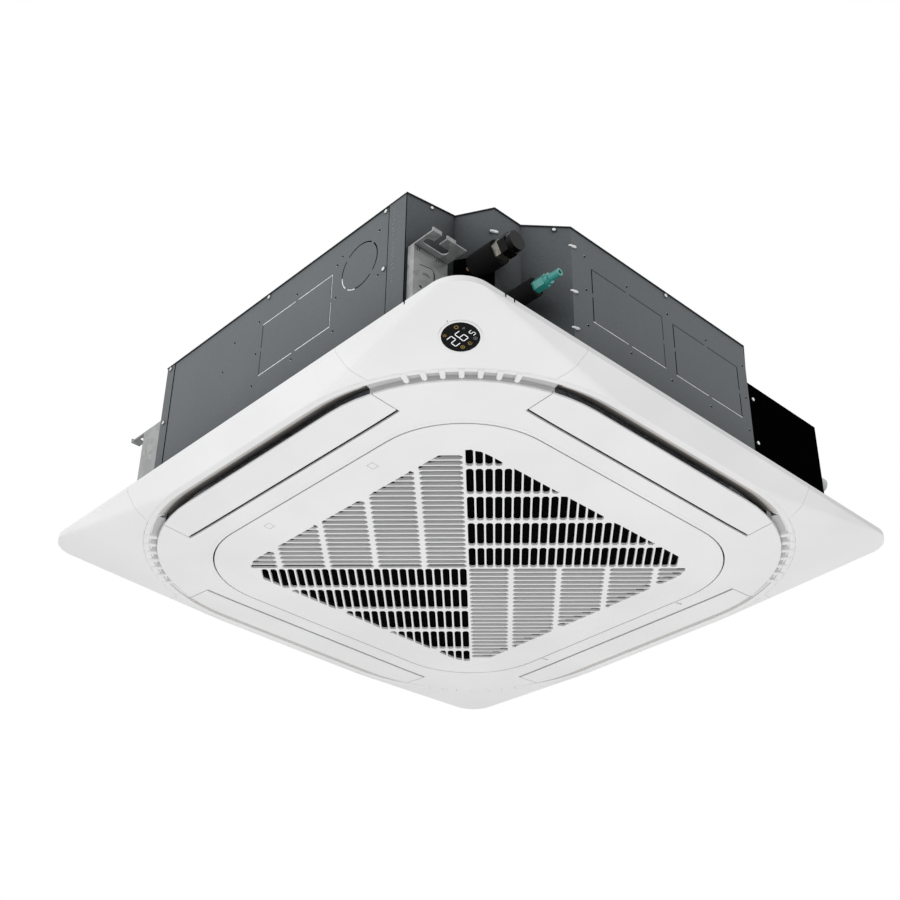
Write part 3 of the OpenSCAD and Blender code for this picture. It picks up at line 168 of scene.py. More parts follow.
def drawn_metal(name, colour, rough, tarnish=0.25):
    """Drawn or turned metal with fine lines round it and uneven tarnish."""
    mat, tree, bsdf = new_material(name)
    lines = noise(tree, coords(tree, (300, 2500, 300)), 1.0, 2.0)
    stain = noise(tree, coords(tree), 60.0, 4.0, 0.65)
    tree.links.new(mix_colour(tree, ramp(tree, stain, 0.35, 0.7, 0.0, 1.0), colour,
                              tuple(c * (1 - tarnish) for c in colour)), bsdf.inputs["Base Color"])
    tree.links.new(ramp(tree, stain, 0.3, 0.7, rough, rough + 0.15), bsdf.inputs["Roughness"])
    bsdf.inputs["Metallic"].default_value = 1.0
    bump(tree, bsdf, lines, 0.1, 0.0002, 0.0003)
    return mat


def beads(name, colour, size):
    """Expanded foam: closely packed beads with shallow seams between them."""
    mat, tree, bsdf = new_material(name)
    where = coords(tree)
    cells = node(tree, "ShaderNodeTexVoronoi", Scale=1.0 / size)
    tree.links.new(where, cells.inputs["Vector"])
    shade = ramp(tree, cells.outputs["Distance"], 0.2, 0.7, 0.0, 1.0)
    tree.links.new(mix_colour(tree, shade, colour, tuple(c * 0.8 for c in colour)), bsdf.inputs["Base Color"])
    bsdf.inputs["Roughness"].default_value = 0.85
    height = ramp(tree, cells.outputs["Distance"], 0.0, 0.8, 1.0, 0.0)
    bump(tree, bsdf, height, 0.35, size * 0.3)
    return mat


def rubber_foam(name, colour):
    """Closed-cell rubber foam with pores and a dull skin."""
    mat, tree, bsdf = new_material(name)
    where = coords(tree)
    pores = noise(tree, where, 700.0, 4.0, 0.7)
    wide = noise(tree, where, 45.0, 3.0)
    tree.links.new(mix_colour(tree, wide, tuple(c * 0.6 for c in colour), tuple(c * 1.5 for c in colour)),
                   bsdf.inputs["Base Color"])
    bsdf.inputs["Roughness"].default_value = 0.85
    bsdf.inputs["Specular IOR Level"].default_value = 0.15
    both = node(tree, "ShaderNodeMath", operation="ADD")
    tree.links.new(pores, both.inputs[0])
    tree.links.new(wide, both.inputs[1])
    bump(tree, bsdf, both.outputs["Value"], 0.4, 0.0006)
    return mat


def fins(name, colour):
    """Thin fins on edge, seen as close upright lines."""
    mat, tree, bsdf = new_material(name)
    tex = node(tree, "ShaderNodeTexCoord")
    split = node(tree, "ShaderNodeSeparateXYZ")
    tree.links.new(tex.outputs["Object"], split.inputs["Vector"])
    along = node(tree, "ShaderNodeMath", operation="ADD")
    tree.links.new(split.outputs["X"], along.inputs[0])
    tree.links.new(split.outputs["Y"], along.inputs[1])
    turns = node(tree, "ShaderNodeMath", operation="MULTIPLY")
    turns.inputs[1].default_value = 2 * math.pi / 0.0016
    tree.links.new(along.outputs["Value"], turns.inputs[0])
    wave = node(tree, "ShaderNodeMath", operation="SINE")
    tree.links.new(turns.outputs["Value"], wave.inputs[0])
    # The dark stripes between the fins are painted shade in the gaps
    tree.links.new(mix_colour(tree, ramp(tree, wave.outputs["Value"], -0.4, 0.8, 0.0, 1.0),
                              tuple(c * 0.25 for c in colour), colour), bsdf.inputs["Base Color"])
    bsdf.inputs["Metallic"].default_value = 0.8
    bsdf.inputs["Roughness"].default_value = 0.4
    bump(tree, bsdf, wave.outputs["Value"], 0.6, 0.0004)
    return mat


def woven(name, colour, pitch):
    """Woven filter net: threads both ways with dark gaps between."""
    mat, tree, bsdf = new_material(name)
    tex = node(tree, "ShaderNodeTexCoord")
    split = node(tree, "ShaderNodeSeparateXYZ")
    tree.links.new(tex.outputs["Object"], split.inputs["Vector"])
    waves = []
    for axis in ("X", "Y"):
        turns = node(tree, "ShaderNodeMath", operation="MULTIPLY")
        turns.inputs[1].default_value = 2 * math.pi / pitch
        tree.links.new(split.outputs[axis], turns.inputs[0])
        wave = node(tree, "ShaderNodeMath", operation="SINE")
        tree.links.new(turns.outputs["Value"], wave.inputs[0])
        waves.append(wave.outputs["Value"])
    top = node(tree, "ShaderNodeMath", operation="MAXIMUM")
    tree.links.new(waves[0], top.inputs[0])
    tree.links.new(waves[1], top.inputs[1])
    tree.links.new(mix_colour(tree, ramp(tree, top.outputs["Value"], 0.2, 0.9, 0.0, 1.0),
                              (0.001, 0.001, 0.001), colour), bsdf.inputs["Base Color"])
    bsdf.inputs["Roughness"].default_value = 0.9
    bsdf.inputs["Specular IOR Level"].default_value = 0.01
    bump(tree, bsdf, top.outputs["Value"], 0.5, 0.0004)
    return mat


def shaded(name, lit_colour, deep_colour, low, high, rough):
    """Matt moulding with painted shade that darkens it unevenly from height low to height high, given in
    metres.
    """
    mat = moulded(name, lit_colour, rough, 0.1, 0.05, 0.0, 0.2)
    tree = mat.node_tree
    split = node(tree, "ShaderNodeSeparateXYZ")
    where = coords(tree)
    tree.links.new(where, split.inputs["Vector"])
    depth = ramp(tree, split.outputs["Z"], low, high, 0.0, 1.0)
    shade_unevenness = ramp(tree, noise(tree, where, 60.0, 3.0), 0.2, 0.8, 0.8, 1.0)
    amount = node(tree, "ShaderNodeMath", operation="MULTIPLY")
    tree.links.new(depth, amount.inputs[0])
    tree.links.new(shade_unevenness, amount.inputs[1])
    tree.links.new(mix_colour(tree, amount.outputs["Value"], lit_colour, deep_colour),
                   tree.nodes["Principled BSDF"].inputs["Base Color"])
    return mat


def glossy(name, colour, rough, coat=0.0, specular=0.5):
    """Polished plastic or acrylic with faint smears that show in its gloss."""
    mat, tree, bsdf = new_material(name)
    smear = noise(tree, coords(tree, (1, 3, 1)), 40.0, 4.0, 0.6)
    tree.links.new(mix_colour(tree, ramp(tree, smear, 0.3, 0.7, 0.0, 1.0), colour,
                              tuple(c * 1.25 for c in colour)), bsdf.inputs["Base Color"])
    tree.links.new(ramp(tree, smear, 0.3, 0.7, rough, rough + 0.08), bsdf.inputs["Roughness"])
    bsdf.inputs["Coat Weight"].default_value = coat
    bsdf.inputs["Specular IOR Level"].default_value = specular
    bump(tree, bsdf, smear, 0.03, 0.0003, 0.0003)
    return mat


def lit(name, colour, strength):
    """A lit segment behind the lens, with faint patches in its brightness."""
    mat, tree, bsdf = new_material(name)
    patch = noise(tree, coords(tree), 600.0, 2.0)
    tree.links.new(mix_colour(tree, ramp(tree, patch, 0.3, 0.7, 0.0, 1.0),
                              tuple(c * 0.85 for c in colour), colour), bsdf.inputs["Emission Color"])
    bsdf.inputs["Base Color"].default_value = (*[c * 0.3 for c in colour], 1)
    bsdf.inputs["Roughness"].default_value = 0.4
    bsdf.inputs["Emission Strength"].default_value = strength
    return mat


WHITE = moulded("white_moulding", (0.85, 0.85, 0.853), 0.5)
STEEL = coated_steel("coated_casing_steel", (0.119, 0.134, 0.142), 0.42)
ZINC = galvanised("galvanised_bracket", (0.36, 0.37, 0.37), 0.45, 90.0, 0.35)
SCREW = drawn_metal("bright_screw", (0.75, 0.75, 0.74), 0.3, 0.15)
COPPER = drawn_metal("copper_tube", (0.80, 0.42, 0.26), 0.25)
NICKEL = drawn_metal("nickel_nut", (0.42, 0.40, 0.36), 0.3, 0.6)
MOTOR = galvanised("motor_shell", (0.60, 0.61, 0.62), 0.42, 40.0, 0.7)
FOAM = beads("expanded_foam", (0.80, 0.84, 0.88), 0.0035)
# Black foam, also used as painted shadow in the duct gaps
SLEEVE_AND_SHADOW = rubber_foam("black_foam_sleeve_and_shadow", (0.004, 0.004, 0.004))
FINS = fins("coil_fins", (0.68, 0.72, 0.76))
# Black moulding, also used as painted shadow in the knockouts and holes
BLACK_AND_SHADOW = moulded("black_moulding_and_shadow", (0.0012, 0.0012, 0.0012), 0.7, 0.1, 0.2, 0.0006, 0.0)
CAP = moulded("black_cap", (0.003, 0.003, 0.003), 0.22, 0.1, 0.2, 0.0008, 0.16)
TEAL = glossy("teal_fitting", (0.025, 0.26, 0.23), 0.1, 1.0)
PALE = moulded("pale_moulding", (0.66, 0.68, 0.69), 0.45)
BOARD = moulded("circuit_board", (0.03, 0.16, 0.07), 0.4, 0.3, 0.15)
# The liner's painted shade darkens it higher up in the outlets
LINER = shaded("grey_liner", (0.66, 0.64, 0.61), (0.16, 0.15, 0.14), -0.196, -0.168, 0.6)
LENS = glossy("display_lens", (0.002, 0.002, 0.002), 0.25, 0.0, 0.12)
# Frame and net are near-black as painted shade for the dark inside seen through the grille
DARK = moulded("filter_frame_dark", (0.003, 0.003, 0.003), 0.7, 0.2, 0.1, 0.0006, 0.02)
NET = woven("filter_net", (0.003, 0.003, 0.003), 0.0016)


def numbered(stem, count):
    return [f"{stem}_{k}" for k in range(1, count + 1)]


CAD_LOOKS = {
    WHITE: ["panel_frame", "centre_frame", "display_bezel", "intake_grille", *numbered("corner_cover", 4),
            *numbered("flap", 4)],
    STEEL: ["casing_shell", "top_plate"],
    ZINC: [*numbered("hanger_bracket", 4), "coil_end_plates", "control_box", "control_lid", "flap_motors"],
    SCREW: ["casing_screws", "panel_screws", "fan_nut"],
    COPPER: ["return_bends", "gas_pipe", "liquid_pipe"],
    NICKEL: ["gas_flare_nut"],
    MOTOR: ["fan_motor"],
    FOAM: ["foam_liner", "drain_pan"],
    SLEEVE_AND_SHADOW: ["gas_sleeve", "liquid_sleeve", "motor_bushes"],
    FINS: ["fin_pack"],
    # The black of pipe_plate_black is partly the plate's own colour and partly painted shadow on the pipe
    # wall
    BLACK_AND_SHADOW: ["pipe_plate_black", "drain_cover"],
    CAP: ["gas_cap"],
    TEAL: ["liquid_fitting"],
    PALE: ["drain_pump", "float_switch", "float_ring", "drain_outlet", "fan_wheel", "bellmouth",
           "terminal_block", *numbered("latch_plunger", 2), "latch_housings"],
    BOARD: ["control_board", "display_board"],
    LENS: ["display_lens"],
    LINER: ["outlet_liners"],
    DARK: ["filter_frame"],
    NET: ["filter_mesh"],
}
for look, names in CAD_LOOKS.items():
    for name in names:
        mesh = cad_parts[name].data
        mesh.materials.clear()
        mesh.materials.append(look)


# Detail pieces. Their outlines and places are in mm, and the meshes are in metres
def piece(name, bm, material, body):
    mesh = bpy.data.meshes.new(name)
    bmesh.ops.remove_doubles(bm, verts=bm.verts, dist=1e-6)
    bmesh.ops.recalc_face_normals(bm, faces=bm.faces)
    bm.to_mesh(mesh)
    bm.free()
    mesh.materials.append(material)
    made = bpy.data.objects.new(name, mesh)
    bpy.context.scene.collection.objects.link(made)
    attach(made, body)
    return made


def prism(bm, outline, place, low, high, chamfer=0.0):
    """A closed prism on a list of 2-D points, with a chamfered top edge, put in place by a matrix."""
    n = len(outline)
    centre = Vector((sum(p[0] for p in outline) / n, sum(p[1] for p in outline) / n))
    rings = [(low, 0.0), (high - chamfer, 0.0), (high, chamfer)] if chamfer else [(low, 0.0), (high, 0.0)]
    loops = []
    for z, shrink in rings:
        loop = []
        for p in outline:
            away = Vector(p) - centre
            length = max(away.length, 1e-9)
            q = centre + away * max(0.0, 1 - shrink / length)
            loop.append(bm.verts.new(place @ Vector((q.x * MM, q.y * MM, z * MM))))
        loops.append(loop)
    for a, b in zip(loops, loops[1:]):
        for i in range(n):
            bm.faces.new((a[i], a[(i + 1) % n], b[(i + 1) % n], b[i]))
    bm.faces.new(loops[0][::-1])
    bm.faces.new(loops[-1])


def bow(radius, angles, at=(0, 0)):
    return [(at[0] + radius * math.cos(a), at[1] + radius * math.sin(a)) for a in angles]


def disc(radius, count, at=(0, 0)):
    return bow(radius, [2 * math.pi * i / count for i in range(count)], at)


def block(x0, y0, x1, y1):
    return [(x0, y0), (x1, y0), (x1, y1), (x0, y1)]


def wall_place(point, outward, up=(0, 0, 1)):
    """A matrix that puts local X along the wall, local Y up it and local Z out of it. point is in mm."""
    z = Vector(outward).normalized()
    y = Vector(up)
    y = (y - z * y.dot(z)).normalized()
    x = y.cross(z)
    turn = Matrix((x, y, z)).transposed().to_4x4()
    return Matrix.Translation(Vector(point) * MM) @ turn


def ceiling(x, y, z):
    """A point of the frame from one whose height is measured from the ceiling surface."""
    return (x, y, z - RISE)


def quarters():
    """Four quarter turns about the unit's middle."""
    return [Matrix.Rotation(math.pi / 2 * k, 4, "Z") for k in range(4)]


# Display: lit digits and faint icons under the lens, in mm on the lens' own face
LENS_AT = (-397, -397, -25.3)
LENS_SLOPE = math.radians(10.83)
DIGIT_SKIN, ICON_SKIN = (0.02, 0.12), (0.02, 0.1)  # low and high faces above the lens
DIGIT_SIZE, SMALL_DIGIT_SIZE = (8.6, 16.0, 1.15), (4.8, 8.2, 0.9)  # width, height and stroke
BAR_GAP_SHARE = 0.18
ICON_R, ICON_LINE, ICON_BOLD, ICON_STEPS = 2.8, 0.6, 0.7, 20
DOT_SIDES = 12


def display_place():
    """A matrix that puts local X along the digits, local Y up them and local Z out of the lens."""
    lean = -math.sin(LENS_SLOPE) * math.sqrt(0.5)
    out = Vector((lean, lean, -math.cos(LENS_SLOPE)))
    read = Vector((0, -1, 0))
    read = (read - out * read.dot(out)).normalized()
    turn = Matrix((read, out.cross(read), out)).transposed().to_4x4()
    return Matrix.Translation(Vector(ceiling(*LENS_AT)) * MM) @ turn


FACE = display_place()


def segment(a, b, wide):
    """A lit bar with pointed ends between two points."""
    a, b = Vector(a), Vector(b)
    along = (b - a).normalized()
    side = Vector((-along.y, along.x)) * wide / 2
    tip = along * wide / 2
    return [tuple(p) for p in (a, a + tip + side, b - tip + side, b, b - tip - side, a + tip - side)]


def digit(bm, bars, x, y, w, h, wide):
    """A digit of the named bars, which are lettered a to g as on any seven-bar display."""
    ends = {
        "a": ((0, h), (w, h)), "b": ((w, h), (w, h / 2)), "c": ((w, h / 2), (w, 0)), "d": ((0, 0), (w, 0)),
        "e": ((0, 0), (0, h / 2)), "f": ((0, h / 2), (0, h)), "g": ((0, h / 2), (w, h / 2)),
    }
    for bar in bars:
        a, b = Vector(ends[bar][0]), Vector(ends[bar][1])
        along = (b - a).normalized() * (wide * BAR_GAP_SHARE)
        shift = Vector((x - w / 2, y - h / 2))
        prism(bm, segment(a + along + shift, b - along + shift, wide), FACE, *DIGIT_SKIN)


def ring_icon(bm, x, y, r, wide, start=0, end=360):
    """A flat ring or bow of short quads, its angles in degrees."""
    for i in range(ICON_STEPS):
        a0, a1 = (math.radians(start + (end - start) * (i + k) / ICON_STEPS) for k in (0, 1))
        prism(bm, bow(r, (a0, a1), (x, y)) + bow(r - wide, (a1, a0), (x, y)), FACE, *ICON_SKIN)


digits = bmesh.new()
digit(digits, "abged", -11.8, 1.0, *DIGIT_SIZE)
digit(digits, "afgcde", 1.7, 0.0, *DIGIT_SIZE)
digit(digits, "afgcd", 15.2, -5.7, *SMALL_DIGIT_SIZE)
piece("display_digits", digits, lit("lit_white", (0.9, 0.92, 0.95), 0.9), "base")

TARGET_AT, TARGET_DOT = (-10.5, -14.0), 1.0
SWITCH_AT, SWITCH_BREAK, SWITCH_BAR = (0.8, -16.0), 20, block(-0.2, -16.4, 1.8, -15.6)
STAR_AT, STAR_INNER, STAR_OUTER, STAR_RAYS = (-13, 15.5), 0.8, 2.8, 6
amber = bmesh.new()
ring_icon(amber, 7.5, 15.0, ICON_R, ICON_BOLD)
ring_icon(amber, *TARGET_AT, ICON_R, ICON_LINE)
prism(amber, disc(TARGET_DOT, DOT_SIDES, TARGET_AT), FACE, *ICON_SKIN)
ring_icon(amber, *SWITCH_AT, ICON_R, ICON_LINE, SWITCH_BREAK, 360 - SWITCH_BREAK)
prism(amber, SWITCH_BAR, FACE, *ICON_SKIN)
for k in range(STAR_RAYS):
    a = math.radians(360 / STAR_RAYS * k)
    near, far = bow(STAR_INNER, [a], STAR_AT)[0], bow(STAR_OUTER, [a], STAR_AT)[0]
    prism(amber, segment(near, far, ICON_BOLD), FACE, *ICON_SKIN)
piece("display_icons_amber", amber, lit("lit_amber", (0.42, 0.27, 0.05), 0.55), "base")

WAVES_AT, WAVE_RADII, WAVE_ENDS = (13.0, 5.0), (1.2, 2.4, 3.6), (50, 130)
CLOCK_AT, CLOCK_R, CLOCK_DOT = (11.5, -15.0), 2.6, 0.9
grey = bmesh.new()
for r in WAVE_RADII:
    ring_icon(grey, *WAVES_AT, r, ICON_LINE, *WAVE_ENDS)
ring_icon(grey, *CLOCK_AT, CLOCK_R, ICON_LINE)
prism(grey, disc(CLOCK_DOT, DOT_SIDES, CLOCK_AT), FACE, *ICON_SKIN)
piece("display_icons_grey", grey, lit("lit_grey", (0.22, 0.23, 0.23), 0.45), "base")

SENSOR_AT, SENSOR_R, SENSOR_SKIN = (6.8, 29.9), 0.8, (-0.05, 0.05)
sensor = bmesh.new()
prism(sensor, disc(SENSOR_R, DOT_SIDES, SENSOR_AT), FACE, *SENSOR_SKIN)
piece("light_sensor_dot", sensor, BLACK_AND_SHADOW, "base")

# Casing details. Places are given along the wall and above the ceiling surface
HALF = 420.0
X_WALL, Y_WALL = (-1, 0, 0), (0, -1, 0)


def on_x_wall(y, z, proud=0.0):
    return wall_place(ceiling(-HALF - proud, y, z), X_WALL)


def on_y_wall(x, z):
    return wall_place(ceiling(x, -HALF, z), Y_WALL)


# Small round holes beside the knockouts, drawn as black discs of painted shade, each with a painted highlight
# on one side
X_HOLES = [(-254, 227.5), (-173.6, 228), (-162.5, 218.5), (-70, 218.5), (21.5, 218), (23, 158.5), (-68, 101),
           (-161.7, 100), (-163.4, 158.5), (-254.6, 145.8), (25.4, 101), (82, 211), (107, 168)]
Y_HOLES = [(-177, 223), (-86, 220), (-176.4, 163), (-176, 100), (-85, 100), (6, 220), (97.7, 220), (4.4, 97),
           (95.4, 96), (188, 218), (188, 157), (188, 97)]
HOLE_R, HOLE_SIDES, HOLE_SKIN = 2.0, 14, (-0.1, 0.1)
HOLE_GLINT_OUTER, HOLE_GLINT_INNER, HOLE_GLINT_ANGLES, HOLE_GLINT_SKIN = 1.9, 1.0, (0, 0.4, 0.8, 1.2), (0.0, 0.25)
holes, glint_marks = bmesh.new(), bmesh.new()
for places, put, turn in ((X_HOLES, on_x_wall, math.radians(200)), (Y_HOLES, on_y_wall, math.radians(110))):
    angles = [turn + a for a in HOLE_GLINT_ANGLES]
    glint_outline = bow(HOLE_GLINT_OUTER, angles) + bow(HOLE_GLINT_INNER, angles[::-1])
    for u, z in places:
        prism(holes, disc(HOLE_R, HOLE_SIDES), put(u, z), *HOLE_SKIN)
        prism(glint_marks, glint_outline, put(u, z), *HOLE_GLINT_SKIN)
piece("casing_small_holes", holes, BLACK_AND_SHADOW, "base")
GLINT_METAL = galvanised("painted_glint", (0.85, 0.86, 0.86), 0.5, 300.0, 0.2)
piece("hole_painted_glints", glint_marks, GLINT_METAL, "base")

# Pale lanced ticks down the lap strip beside the pipe corner
TICK_RUNS = [(247, 220, 5), (212, 200, 3), (186, 155, 7), (147, 138, 2), (128, 117, 3)]  # top, low and count
TICK = [(-2.4, -1.0), (2.4, 0.2), (2.4, 0.9), (-2.4, -0.2)]
TICK_Y, TICK_STAGGER, STRIP_PROUD, TICK_SKIN = -285, 1.5, 0.6, (-0.05, 0.15)
ticks = bmesh.new()
for top, low, count in TICK_RUNS:
    for i in range(count):
        place = on_x_wall(TICK_Y - (i % 2) * TICK_STAGGER, top + (low - top) * i / (count - 1), STRIP_PROUD)
        prism(ticks, TICK, place, *TICK_SKIN)
piece("strip_ticks", ticks, galvanised("worn_tick", (0.30, 0.32, 0.33), 0.4, 300.0, 0.4),
      "base")

# Pressed darts that stiffen the casing's upright bends: foot of the bend, outward direction and heights
DARTS = [((-202, -420), (-0.35, -1, 0), (227.4, 145.5, 81.3)), ((-311.5, -373), (-0.45, -1, 0), (217.5,)),
         ((-257.5, -373), (-0.3, -1, 0), (222,))]
DART_LONG, DART_TALL, DART_SIDES, DART_SKIN, DART_ROUND = 6.5, 2.6, 16, (-1.0, 1.5), 1.2
dart = [(DART_LONG * x, DART_TALL * y) for x, y in disc(1, DART_SIDES)]
darts = bmesh.new()
for (x, y), outward, heights in DARTS:
    for z in heights:
        prism(darts, dart, wall_place(ceiling(x, y, z), outward), *DART_SKIN, DART_ROUND)
# The darts are drawn in bright metal as a painted highlight on their bulges
piece("bend_darts", darts, GLINT_METAL, "base")

# What shows inside the knockouts' cut lines: painted highlights in some, painted shadow in others and painted
# half shade in the rest
CUT, BRIDGE, CUT_PLAY = 2.0, 7.0, 0.05
CUT_SKIN, CUT_GLINT_SKIN = (-0.9, -0.25), (-0.2, 0.05)
X_KNOCK = (-153.5, 112.0, 10.5, 208.0)
Y_KNOCKS = [(-164.1, 112.0, -7.1, 208.0), (16.9, 112.0, 173.9, 208.0)]
ROUND_KNOCK, ROUND_R, ROUND_PARTS = (-213.5, 188.0), 39.0, 12
ROUND_START, ROUND_STEP, ROUND_GAP = -43, 7.17, 2  # degrees
shade, faint, edge_glints = bmesh.new(), bmesh.new(), bmesh.new()


def slit(bm, put, u0, z0, u1, z1):
    w, h = abs(u1 - u0) / 2 - CUT_PLAY, abs(z1 - z0) / 2 - CUT_PLAY
    prism(bm, block(-w, -h, w, h), put((u0 + u1) / 2, (z0 + z1) / 2), *CUT_SKIN)


def halves(low, high):
    middle = (low + high) / 2
    return [(low, middle - BRIDGE / 2), (middle + BRIDGE / 2, high)]


def sides(put, knock, left, right, top, bottom):
    """The four cut lines of a square knockout, each with a bridge in its middle."""
    u0, z0, u1, z1 = knock
    for bm, u in ((left, u0), (right, u1 - CUT)):
        for low, high in halves(z0 + CUT, z1 - CUT):
            slit(bm, put, u, low, u + CUT, high)
    for bm, z in ((top, z1 - CUT), (bottom, z0)):
        for low, high in halves(u0, u1):
            slit(bm, put, low, z, high, z + CUT)


sides(on_x_wall, X_KNOCK, shade, faint, edge_glints, edge_glints)
sides(on_y_wall, Y_KNOCKS[0], shade, faint, faint, edge_glints)
sides(on_y_wall, Y_KNOCKS[1], shade, shade, faint, edge_glints)
# The near upright of the side knockout is half painted shadow and half painted highlight
CUT_GLINT_FROM, CUT_GLINT_TO = 0.1, 0.9
for low, high in halves(X_KNOCK[1] + CUT, X_KNOCK[3] - CUT):
    glint_strip = block(CUT_GLINT_FROM, -(high - low) / 2, CUT_GLINT_TO, (high - low) / 2)
    prism(edge_glints, glint_strip, on_x_wall(X_KNOCK[0] + CUT / 2, (low + high) / 2), *CUT_GLINT_SKIN)
for quarter in range(4):
    for i in range(ROUND_PARTS):
        a0, a1 = (math.radians(ROUND_START + 90 * quarter + ROUND_STEP * (i + k) + ROUND_GAP) for k in (0, 1))
        part = bow(ROUND_R - CUT_PLAY, (a0, a1)) + bow(ROUND_R - CUT + CUT_PLAY, (a1, a0))
        lower_left = quarter == 2 and i > 5 or quarter == 3 and i < 4
        prism(edge_glints if lower_left else shade, part, on_x_wall(*ROUND_KNOCK), *CUT_SKIN)
piece("knockout_shadows", shade, BLACK_AND_SHADOW, "base")
piece("knockout_painted_glints", edge_glints, galvanised("painted_cut_glint", (0.88, 0.89, 0.89), 0.6, 300.0, 0.0),
      "base")
piece("knockout_faint_lines", faint, coated_steel("slit_half_shade", (0.05, 0.055, 0.06), 0.5),
      "base")

# Dark joint lines beside the lap strips: place along the wall, width and rise above the wall
JOINT_LINES = [(-274.2, 1.5, 0.35), (-310.6, 0.9, 0.75), (248.2, 1.2, 0.35)]
JOINT_HALF, JOINT_MID, JOINT_SUNK = 122.5, 137, -0.1
joints = bmesh.new()
for y, wide, proud in JOINT_LINES:
    line = block(-wide / 2, -JOINT_HALF, wide / 2, JOINT_HALF)
    prism(joints, line, on_x_wall(y, JOINT_MID), JOINT_SUNK, proud)
piece("strip_joint_lines", joints, BLACK_AND_SHADOW, "base")

# Small nicks in the panel's rim beside the corner
PANEL_HALF, NICK_Z, NICK_SKIN = 475, -2.6, (-0.1, 0.25)
NICK = [(-1.2, 2.6), (-0.4, -2.4), (1.0, -2.4), (1.6, 2.6)]
NICK_PLACES = [((-395, -PANEL_HALF, NICK_Z), Y_WALL), ((-379.3, -PANEL_HALF, NICK_Z), Y_WALL),
               ((-PANEL_HALF, -376.4, NICK_Z), X_WALL)]
nicks = bmesh.new()
for at, outward in NICK_PLACES:
    prism(nicks, NICK, wall_place(ceiling(*at), outward), *NICK_SKIN)
piece("rim_nicks", nicks, BLACK_AND_SHADOW, "base")

# Painted shadow along the bracket's pressed window and in its bend notches at the pipe corner: points in X
# and Z, then the width
PLATE_Y, PRESS_SKIN = -324.3, (-0.1, 0.12)
PRESS_LINES = [
    ([(-405, 132.6), (-395, 134.4), (-385.8, 136.3), (-381.5, 136), (-378.9, 132.5)], 1.1),
    ([(-378.9, 132.5), (-378.2, 126), (-378.2, 116)], 2.2),
    ([(-399.4, 118.6), (-393, 120.2), (-385.4, 119.6)], 1.0),
    ([(-398.4, 121.6), (-392, 122.6), (-388, 122.2)], 0.7),
    ([(-404.5, 96.5), (-400.5, 94.0)], 3.4),
]
NOTCHES, NOTCH, NOTCH_WIDE = (-410.2, -406.2, -374.6, -370.9), [(-0.7, 154.8), (0.9, 160.8)], 0.9
BEND_LINE = [(-415.6, 161.4), (-355, 161.4)]
marks = bmesh.new()


def plate_line(points, wide):
    """A thin line of painted shadow on the bracket's plate, one quad for each stretch."""
    for (x0, z0), (x1, z1) in zip(points, points[1:]):
        length = math.hypot(x1 - x0, z1 - z0)
        sx, sz = -(z1 - z0) / length * wide / 2, (x1 - x0) / length * wide / 2
        quad = [(x0 + sx, z0 + sz), (x0 - sx, z0 - sz), (x1 - sx, z1 - sz), (x1 + sx, z1 + sz)]
        prism(marks, quad, wall_place(ceiling(0, PLATE_Y, 0), Y_WALL), *PRESS_SKIN)


for points, wide in PRESS_LINES:
    plate_line(points, wide)
for x in NOTCHES:
    plate_line([(x + dx, z) for dx, z in NOTCH], NOTCH_WIDE)
plate_line(BEND_LINE, NOTCH_WIDE)
piece("bracket_press_shadows", marks, moulded("press_shadow", (0.02, 0.02, 0.02), 0.7, 0.05, 0.1, 0.0, 0.1),
      "base")

# Small screws in the pipe corner's walls
CORNER_SCREWS = [((-378.8, -316.6, 254.5), (-0.13, -1, 0)), ((-223.8, -405.6, 253.6), (-0.55, -0.83, 0))]
HEAD_R, HEAD_SIDES, HEAD_SKIN, HEAD_ROUND = 2.6, 18, (-1.5, 1.8), 0.6
heads = bmesh.new()
for at, outward in CORNER_SCREWS:
    prism(heads, disc(HEAD_R, HEAD_SIDES), wall_place(ceiling(*at), outward), *HEAD_SKIN, HEAD_ROUND)
piece("corner_screw_heads", heads, SCREW, "base")


# Deep backs of the grille's bars, which close the view between them from the side.
# A bar is placed by its distances across and along from the pinwheel's cross.
FIELD_MID, FIELD_CORNER, FIELD_EDGE = 287.1, 52.0, 360.6
BARS, BAR_START, BAR_PITCH, BAR_WIDE = 24, 12.8, 13.6, 2.8
ROWS, ROW_PITCH, ROW_LENGTH, ROW_LAP, CROSS_GAP = 5, 75.5, 64, 4, 2.0
BACK_LOW, BACK_HIGH = -47.2, -44.6
bar_backs = bmesh.new()


def field_reach(a):
    """How far a bar reaches before the slotted field ends in its round corner or slanting edge."""
    turn = FIELD_CORNER / math.sqrt(2)
    if a < turn:
        return FIELD_MID + math.sqrt(max(0, FIELD_CORNER ** 2 - a * a))
    if a < FIELD_MID + turn:
        return FIELD_EDGE - a
    return math.sqrt(max(0, FIELD_CORNER ** 2 - (a - FIELD_MID) ** 2))


for row in range(ROWS):
    for i in range(BARS):
        a0, a1 = (BAR_START + i * BAR_PITCH + wide for wide in (0, BAR_WIDE))
        low = max(CROSS_GAP, row * ROW_PITCH - ROW_LAP)
        high = min(row * ROW_PITCH + ROW_LENGTH, field_reach(a1))
        if high > low + ROW_LAP:
            corners = [((a - b) * math.sqrt(0.5), -(a + b) * math.sqrt(0.5))
                       for a, b in ((a0, low), (a1, low), (a1, high), (a0, high))]
            for turned in quarters():
                prism(bar_backs, corners, turned, BACK_LOW - RISE, BACK_HIGH - RISE)
piece("grille_bar_backs", bar_backs, WHITE, "grille")

# Filter frame with its cross ribs above the net, where the slanting slots don't show them
FRAME_HALF, FRAME_TURN, FRAME_BAR, FRAME_EDGE = 258.8, 56.8, 11.8, 0.5
FRAME_LOW, FRAME_TOP = -46.9, -42.1
RIB_PITCH, RIB_HALF, RIB_REACH, RIB_LOW, RIB_TOP, RIB_EDGE = 123.5, 3, 247.2, -43.6, -42.2, 0.4
filter_bm = bmesh.new()


